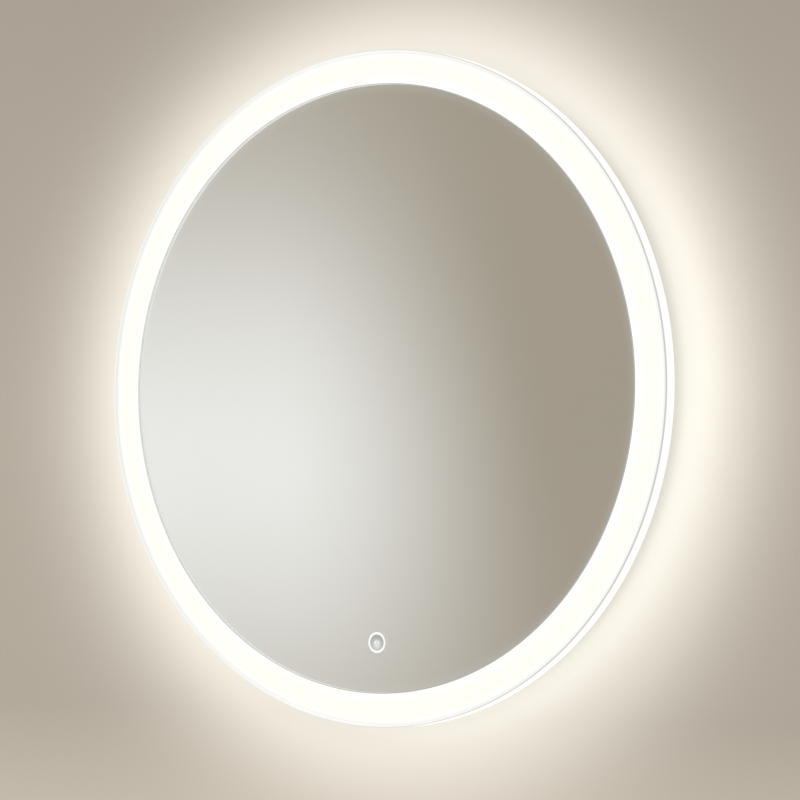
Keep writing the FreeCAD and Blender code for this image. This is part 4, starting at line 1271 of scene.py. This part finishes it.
def place_on_strip(tree, middle_out, phase):
    """Distance along the strip from the nearest chip's middle, and across it from its own middle."""
    angle, out = place_on_mirror(tree)[1:]
    turn = maths(tree, "MULTIPLY_ADD", angle, CHIP_COUNT / (2 * math.pi), phase)
    share = maths(tree, "SUBTRACT", maths(tree, "FRACT", turn), 0.5)
    along = maths(tree, "ABSOLUTE", maths(tree, "MULTIPLY", share, CHIP_PITCH))
    across = maths(tree, "ABSOLUTE", maths(tree, "SUBTRACT", out, middle_out))
    return along, across


def patch(tree, along, across, half_long, half_wide):
    """A rectangle with soft edges."""
    return maths(tree, "MULTIPLY", ramp(tree, along, half_long, half_long + PATCH_SOFT, 1.0, 0.0),
                 ramp(tree, across, half_wide, half_wide + PATCH_SOFT, 1.0, 0.0))


def chip_finish(name, middle_out, phase):
    material, tree, shader = new_finish(name)
    along, across = place_on_strip(tree, middle_out, phase)
    window = patch(tree, along, across, 0.9 * MM, 0.85 * MM)
    contact = ramp(tree, along, 1.45 * MM, 1.5 * MM)
    body = blend_colour(tree, contact, colour(236, 236, 230), colour(190, 190, 188))
    join(tree, blend_colour(tree, window, body, colour(240, 214, 96)), shader.inputs["Base Color"])
    join(tree, contact, shader.inputs["Metallic"])
    shine(tree, shader, window, colour(255, 244, 200), CHIP_GLOW)
    roughen(tree, shader, 2500.0, 0.25, 0.4)
    return material


print("light chips every", round(CHIP_PITCH / MM, 1), "mm of the glass's edge")

# %% [markdown]
# The strip under the chips is white and flexible, and can be cut half way between two chips. A dark line
# marks the cut, and a pair of tinned pads stands on each side of it.

# %% Finish of the light strips
PAD_FROM_CUT = 1.6 * MM
PAD_ASIDE = 1.1 * MM


def strip_finish(name, middle_out, phase):
    material, tree, shader = new_finish(name)
    along, across = place_on_strip(tree, middle_out, phase)
    from_cut = maths(tree, "SUBTRACT", CHIP_PITCH / 2, along)
    cut = ramp(tree, from_cut, 0.15 * MM, 0.25 * MM, 1.0, 0.0)
    pad_along = maths(tree, "ABSOLUTE", maths(tree, "SUBTRACT", from_cut, PAD_FROM_CUT))
    pad_across = maths(tree, "ABSOLUTE", maths(tree, "SUBTRACT", across, PAD_ASIDE))
    pad = patch(tree, pad_along, pad_across, 0.9 * MM, 0.55 * MM)
    white = blend_colour(tree, speckle(tree, 200.0), colour(216, 217, 213), colour(228, 228, 224))
    marked = blend_colour(tree, cut, white, colour(60, 60, 60))
    join(tree, blend_colour(tree, pad, marked, colour(206, 190, 150)), shader.inputs["Base Color"])
    join(tree, pad, shader.inputs["Metallic"])
    roughen(tree, shader, 900.0, 0.35, 0.5)
    bump(tree, shader, pad, 0.03 * MM)
    return material


print("pads stand", round(PAD_FROM_CUT / MM, 1), "mm from each cut mark")

# %% [markdown]
# The CAD has the chips' places. The points for the copies lie on a circle through the chips' backs, and the
# first chip's angle tells both finishes where the pattern begins.

# %% Light chips in their places
def chips(name, node, strip):
    """Chips for the solids of a CAD group, and the finish of the strip that carries them."""
    middles = [(low + high) / 2 for low, high in islands(node)]
    middle_out = -middles[0].y
    radii = [math.hypot(m.x - centre_x, m.z - centre_z) for m in middles]
    foot = sum(radii) / len(radii) - CHIP_HIGH / 2
    points = [((m.x - centre_x) * foot / r, (m.z - centre_z) * foot / r, middle_out)
              for m, r in zip(middles, radii)]
    first = math.atan2(middles[0].z - centre_z, middles[0].x - centre_x) * CHIP_COUNT / (2 * math.pi)
    phase = 0.5 - first % 1.0
    dress(strip_finish(name + "_strip_finish", middle_out, phase), strip)
    place = mathutils.Matrix.Translation((centre_x, 0.0, centre_z)) @ FACE_ROOM
    return copies(name, light_chip, points, place, chip_finish(name + "_finish", middle_out, phase),
                  outwards=True)


for name, node, strip in (("front_chips", "front_light_chips", "front_light_strip"),
                          ("rear_chips", "rear_light_chips", "rear_light_strip")):
    swap_in(chips(name, node, strip), node)

# %% [markdown]
# ## The touch switch
# Behind the openings in the silver sits a light guide of opal plastic, lit by the indicator lights. It is
# evenly bright under the ring. Under the dot it is dimmer, apart from the two brighter spots.

# %% Touch switch
RING_GLOW = 0.95
DOT_GLOW = 0.65
LAMP_GLOW = 0.9
RING_LIGHT_START = 5.0 * MM


def light_guide_finish():
    material, tree, shader = new_finish("light_guide")
    in_ring = ramp(tree, from_touch(tree), RING_LIGHT_START, TOUCH_RING_INNER)
    glow = maths(tree, "MULTIPLY_ADD", in_ring, RING_GLOW - DOT_GLOW, DOT_GLOW)
    glow = maths(tree, "MAXIMUM", glow, touch_lamps(tree, LAMP_GLOW))
    fix(shader, Base_Color=colour(150, 150, 150))
    shine(tree, shader, glow, colour(252, 253, 250), 1.0)
    roughen(tree, shader, 200.0, 0.25, 0.35)
    return material


dress(light_guide_finish(), "touch_ring_lens")

# %% [markdown]
# ## The wall
# The mirror hangs on a plain warm grey wall, and its halo falls on it. Real lamps could throw that halo,
# but the wall would be full of noise. So the wall's finish glows by itself: strongest next to the mirror,
# fading with the distance from it, a little stronger at the sides than above and below, and with a shorter
# reach at the upper right. Behind the mirror's edge it is dimmer, and a second, short glow lies close to
# the mirror at the lower right.

# %% Halo on the wall
HALO_START = 305.4 * MM
HALO_REACH = 66.9 * MM
HALO_POWER = 1.524
HALO_SWELL = 0.088
HALO_LEAN = 0.095
HALO_LEAN_TURN = math.radians(42.7)
HALO_UNDER = 292.0 * MM
HALO_UNDER_SHARE = 0.7
HALO_NEAR_REACH = 40 * MM
HALO_NEAR_GLOW = 0.16
HALO_NEAR_TURN = math.radians(-35)


def halo_on_wall(tree):
    """How much of the halo's light falls on each point of the wall."""
    radius, angle = place_on_mirror(tree)[:2]
    beyond = maths(tree, "MAXIMUM", maths(tree, "SUBTRACT", radius, HALO_START), 0.0)
    lean = maths(tree, "COSINE", maths(tree, "SUBTRACT", angle, HALO_LEAN_TURN))
    reach = maths(tree, "MULTIPLY_ADD", lean, -HALO_LEAN * HALO_REACH, HALO_REACH)
    steps = maths(tree, "DIVIDE", beyond, reach)
    fade = maths(tree, "EXPONENT", maths(tree, "MULTIPLY", maths(tree, "POWER", steps, HALO_POWER), -1.0))
    twice = maths(tree, "COSINE", maths(tree, "MULTIPLY", angle, 2.0))
    swell = maths(tree, "MULTIPLY_ADD", twice, HALO_SWELL, 1.0)
    under = ramp(tree, radius, HALO_UNDER - 10 * MM, HALO_UNDER + 6 * MM, HALO_UNDER_SHARE, 1.0)
    side = ramp(tree, maths(tree, "COSINE", maths(tree, "SUBTRACT", angle, HALO_NEAR_TURN)), 0.2, 0.9)
    near = maths(tree, "MULTIPLY", side, ramp(tree, beyond, -5 * MM, HALO_NEAR_REACH, HALO_NEAR_GLOW, 0.0))
    return maths(tree, "ADD", maths(tree, "MULTIPLY", maths(tree, "MULTIPLY", fade, swell), under), near)


print("the halo starts", round((HALO_START - rim_radius) / MM, 1), "mm outside the side wall")

# %% [markdown]
# The wall's colour is a little lighter lower down, a painted light gradient, and near the wall's foot warm
# light comes up from below. From behind, the wall would hide the mirror's back, so its back face is
# see-through.

# %% Wall paint
WALL_TONE = (0.450, 0.402, 0.338, 1.0)
HALO_TONE = (0.542, 0.535, 0.493)
WALL_LIGHT_SLOPE = -0.358
WALL_FOOT_TOP = -0.440
WALL_FOOT = -0.560
WALL_FOOT_TONE = (0.140, 0.124, 0.105, 1.0)


def see_through(tree, share, shader):
    """Makes a finish transparent by a share."""
    final = add(tree, "ShaderNodeMixShader")
    join(tree, share, final.inputs[0])
    join(tree, shader.outputs[0], final.inputs[1])
    join(tree, add(tree, "ShaderNodeBsdfTransparent").outputs[0], final.inputs[2])
    join(tree, final.outputs[0], tree.nodes["Material Output"].inputs["Surface"])


def wall_finish():
    material, tree, shader = new_finish("wall_paint")
    height = split(tree, object_place(tree))[2]
    # Painted light: the colour brightens a little lower down.
    rise = maths(tree, "MULTIPLY_ADD", maths(tree, "SUBTRACT", height, centre_z), WALL_LIGHT_SLOPE, 1.0)
    level = maths(tree, "MULTIPLY", rise, ramp(tree, speckle(tree, 3.0), 0.3, 0.7, 0.985, 1.0))
    join(tree, blend_colour(tree, level, BLACK, WALL_TONE), shader.inputs["Base Color"])
    fix(shader, Roughness=0.9, Specular_IOR_Level=0.0, Emission_Strength=1.0)
    lit = add(tree, "ShaderNodeVectorMath", operation="SCALE")
    lit.inputs[0].default_value = HALO_TONE
    join(tree, halo_on_wall(tree), lit.inputs["Scale"])
    glow = add(tree, "ShaderNodeMix", data_type="RGBA", blend_type="ADD", clamp_factor=False)
    join(tree, ramp(tree, height, WALL_FOOT_TOP, WALL_FOOT, smooth=False), glow.inputs[0])
    join(tree, lit.outputs[0], glow.inputs[6])
    glow.inputs[7].default_value = WALL_FOOT_TONE
    join(tree, glow.outputs[2], shader.inputs["Emission Color"])
    see_through(tree, add(tree, "ShaderNodeNewGeometry").outputs["Backfacing"], shader)
    return material


wall_paint = wall_finish()
print("wall paint:", len(wall_paint.node_tree.nodes), "nodes")

# %% [markdown]
# The wall is one flat face just behind the bracket. Only the camera sees it. It neither lights the mirror's
# back nor shows up in the mirror.

# %% Wall
WALL_SIDE = 0.95
WALL_TOP = 0.65
WALL_GAP = 0.0003
FLOOR_LEVEL = -0.75


def plane_piece(name, corners, material):
    mesh = bpy.data.meshes.new(name)
    mesh.from_pydata(corners, [], [range(len(corners))])
    mesh.materials.append(material)
    piece = bpy.data.objects.new(name, mesh)
    bpy.context.scene.collection.objects.link(piece)
    return piece


wall = plane_piece("wall", [
    (-WALL_SIDE, WALL_GAP, FLOOR_LEVEL), (WALL_SIDE, WALL_GAP, FLOOR_LEVEL),
    (WALL_SIDE, WALL_GAP, WALL_TOP), (-WALL_SIDE, WALL_GAP, WALL_TOP),
], wall_paint)
for ray in ("diffuse", "glossy", "transmission", "shadow", "volume_scatter"):
    setattr(wall, "visible_" + ray, False)
print("wall:", 2 * WALL_SIDE, "m wide")

# %% [markdown]
# ## The floor
# A pale floor lies below, for the views that reach down to it. It fades into the pale background far from
# the mirror, so that its edge never shows.

# %% Floor
FLOOR_SIDE = 5.5
FLOOR_FADE = (1.2, 5.0)


def floor_finish():
    material, tree, shader = new_finish("floor_paint")
    pale = blend_colour(tree, speckle(tree, 2.0), colour(228, 227, 224), colour(232, 231, 228))
    join(tree, pale, shader.inputs["Base Color"])
    fix(shader, Roughness=0.8)
    distance = add(tree, "ShaderNodeVectorMath", operation="LENGTH")
    join(tree, object_place(tree), distance.inputs[0])
    see_through(tree, ramp(tree, distance.outputs["Value"], *FLOOR_FADE), shader)
    return material


floor = plane_piece("floor", [(FLOOR_SIDE * sx, FLOOR_SIDE * sy, FLOOR_LEVEL) for sx, sy in CORNERS],
                    floor_finish())
print("floor:", 2 * FLOOR_SIDE, "m wide")

# %% [markdown]
# ## The room in the mirror
# The mirror shows the room on the camera's side: pale on the left, a darker warm grey on the right, with a
# soft boundary between them. That room could be built from walls, but a gradient in the world's colour is
# enough. Its colours are written as they look in the mirror, and a helper works out what they were before
# the glass and the silver took their share.

# %% Colours of the room
PALE_ROOM = (0.802, 0.814, 0.773)
DARK_ROOM = (0.358, 0.323, 0.257)
REFLECTED = (0.876, 0.905, 0.869)
GLASS_HAZE = 0.006


def as_reflected(tone):
    """The room's own colour, from how it looks after the glass and the silver have taken their share."""
    return tuple((c - GLASS_HAZE) / kept for c, kept in zip(tone, REFLECTED)) + (1.0,)


print("pale side of the room:", [round(c, 3) for c in as_reflected(PALE_ROOM)])

# %% [markdown]
# The gradient runs across the direction of view. It leans and widens a little with height, as the boundary
# in the mirror does, and the pale side darkens above and below the horizon. Rays from mirror and glass see
# the room, the camera sees a pale background, and all other rays get a plain even light.

# %% Room
ROOM_LEVEL = 0.0114
ROOM_LEAN = 0.0856
ROOM_WIDENING = -0.0427
ROOM_PALE_END = -0.6039
ROOM_DARK_START = -0.5437
ROOM_HEIGHT = 0.1039
ROOM_FADE = 0.178
FAR_RIGHT = (-0.25, 0.35)
EVEN_LIGHT = (0.8, 0.8, 0.8, 1.0)


def seen_room(tree):
    """Colour of the room for a ray's direction."""
    direction = split(tree, add(tree, "ShaderNodeTexCoord").outputs["Generated"])
    aside = direction[0]
    lift = maths(tree, "SUBTRACT", direction[2], ROOM_LEVEL)
    across = maths(tree, "MULTIPLY_ADD", lift, ROOM_LEAN, aside)
    widening = maths(tree, "MULTIPLY", lift, ROOM_WIDENING)
    to_dark = ramp(tree, across, maths(tree, "SUBTRACT", ROOM_PALE_END, widening),
                   maths(tree, "ADD", ROOM_DARK_START, widening))
    height = ramp(tree, maths(tree, "ABSOLUTE", lift), 0.0, ROOM_HEIGHT, 1.0, ROOM_FADE)
    pale = maths(tree, "MULTIPLY", maths(tree, "SUBTRACT", 1.0, to_dark), height)
    pale = maths(tree, "MAXIMUM", pale, ramp(tree, aside, *FAR_RIGHT))
    return blend_colour(tree, pale, as_reflected(DARK_ROOM), as_reflected(PALE_ROOM))


def room_world():
    world = bpy.data.worlds.new("room")
    world.use_nodes = True
    tree = world.node_tree
    tree.nodes.clear()
    path = add(tree, "ShaderNodeLightPath").outputs
    mirror_rays = maths(tree, "MAXIMUM", path["Is Glossy Ray"], path["Is Transmission Ray"])
    plain = blend_colour(tree, path["Is Camera Ray"], EVEN_LIGHT, colour(232, 231, 228))
    background = add(tree, "ShaderNodeBackground")
    join(tree, blend_colour(tree, mirror_rays, plain, seen_room(tree)), background.inputs["Color"])
    join(tree, background.outputs[0], add(tree, "ShaderNodeOutputWorld").inputs["Surface"])
    return world


scene = bpy.context.scene
scene.world = room_world()
print("room:", len(scene.world.node_tree.nodes), "nodes")

# %% [markdown]
# ## Soft light
# Two large soft lamps shape the metal and the housings, one from the room and one from behind the wall. The
# mirror would show them as bright discs, so they are hidden from the camera, from mirrors and from glass.

# %% Soft light
LAMP_SIZE = 2.5
LAMP_POWER = 40.0


def soft_lamp(name, place):
    light = bpy.data.lights.new(name, "AREA")
    light.shape = "DISK"
    light.size = LAMP_SIZE
    light.energy = LAMP_POWER
    lamp = bpy.data.objects.new(name, light)
    lamp.location = place
    to_mirror = mathutils.Vector((0, 0, centre_z)) - lamp.location
    lamp.rotation_euler = to_mirror.to_track_quat("-Z", "Y").to_euler()
    scene.collection.objects.link(lamp)
    lamp.visible_glossy = False
    lamp.visible_transmission = False
    lamp.visible_camera = False
    return lamp


key = soft_lamp("key_light", (-1.2, -3.0, 2.0))
rear = soft_lamp("rear_light", (-1.5, 3.0, 2.0))
print("lamps:", key.name, rear.name)

# %% [markdown]
# ## Camera
# The camera stands 3.5 m away, 35 degrees to the right of the mirror's axis and a little below it. Its long
# lens keeps the ellipses as round as they are in the photograph. It could be placed by hand, but three
# directions at right angles, towards, right and up, place it exactly.

# %% Camera
YAW = math.radians(35.311)
PITCH = math.radians(-1.468)
DISTANCE = 3.5199
LENS = 178.98
RIM_MIDDLE = mathutils.Vector((0.0, -0.0422, -0.150))
AIM_RIGHT = 0.0208
AIM_UP = -0.0106

towards = mathutils.Vector((math.sin(YAW) * math.cos(PITCH), -math.cos(YAW) * math.cos(PITCH),
                            math.sin(PITCH)))
right = mathutils.Vector((math.cos(YAW), math.sin(YAW), 0.0))
up = mathutils.Vector((-math.sin(YAW) * math.sin(PITCH), math.cos(YAW) * math.sin(PITCH), math.cos(PITCH)))
target = RIM_MIDDLE + right * AIM_RIGHT + up * AIM_UP

camera_data = bpy.data.cameras.new("camera")
camera_data.lens = LENS
camera_data.sensor_width = 36.0
camera = bpy.data.objects.new("camera", camera_data)
scene.collection.objects.link(camera)
scene.camera = camera
camera.matrix_world = mathutils.Matrix.Translation(target + towards * DISTANCE) @ mathutils.Matrix(
    (right, up, towards)).transposed().to_4x4()
scene.view_settings.view_transform = "Standard"
print("camera stands at", tuple(round(v, 3) for v in target + towards * DISTANCE))

# %% [markdown]
# ## The end
# Wall, floor and lamps are the stage and no part of the mirror.

# %% Stage
print("stage:", wall.name, floor.name, key.name, rear.name)
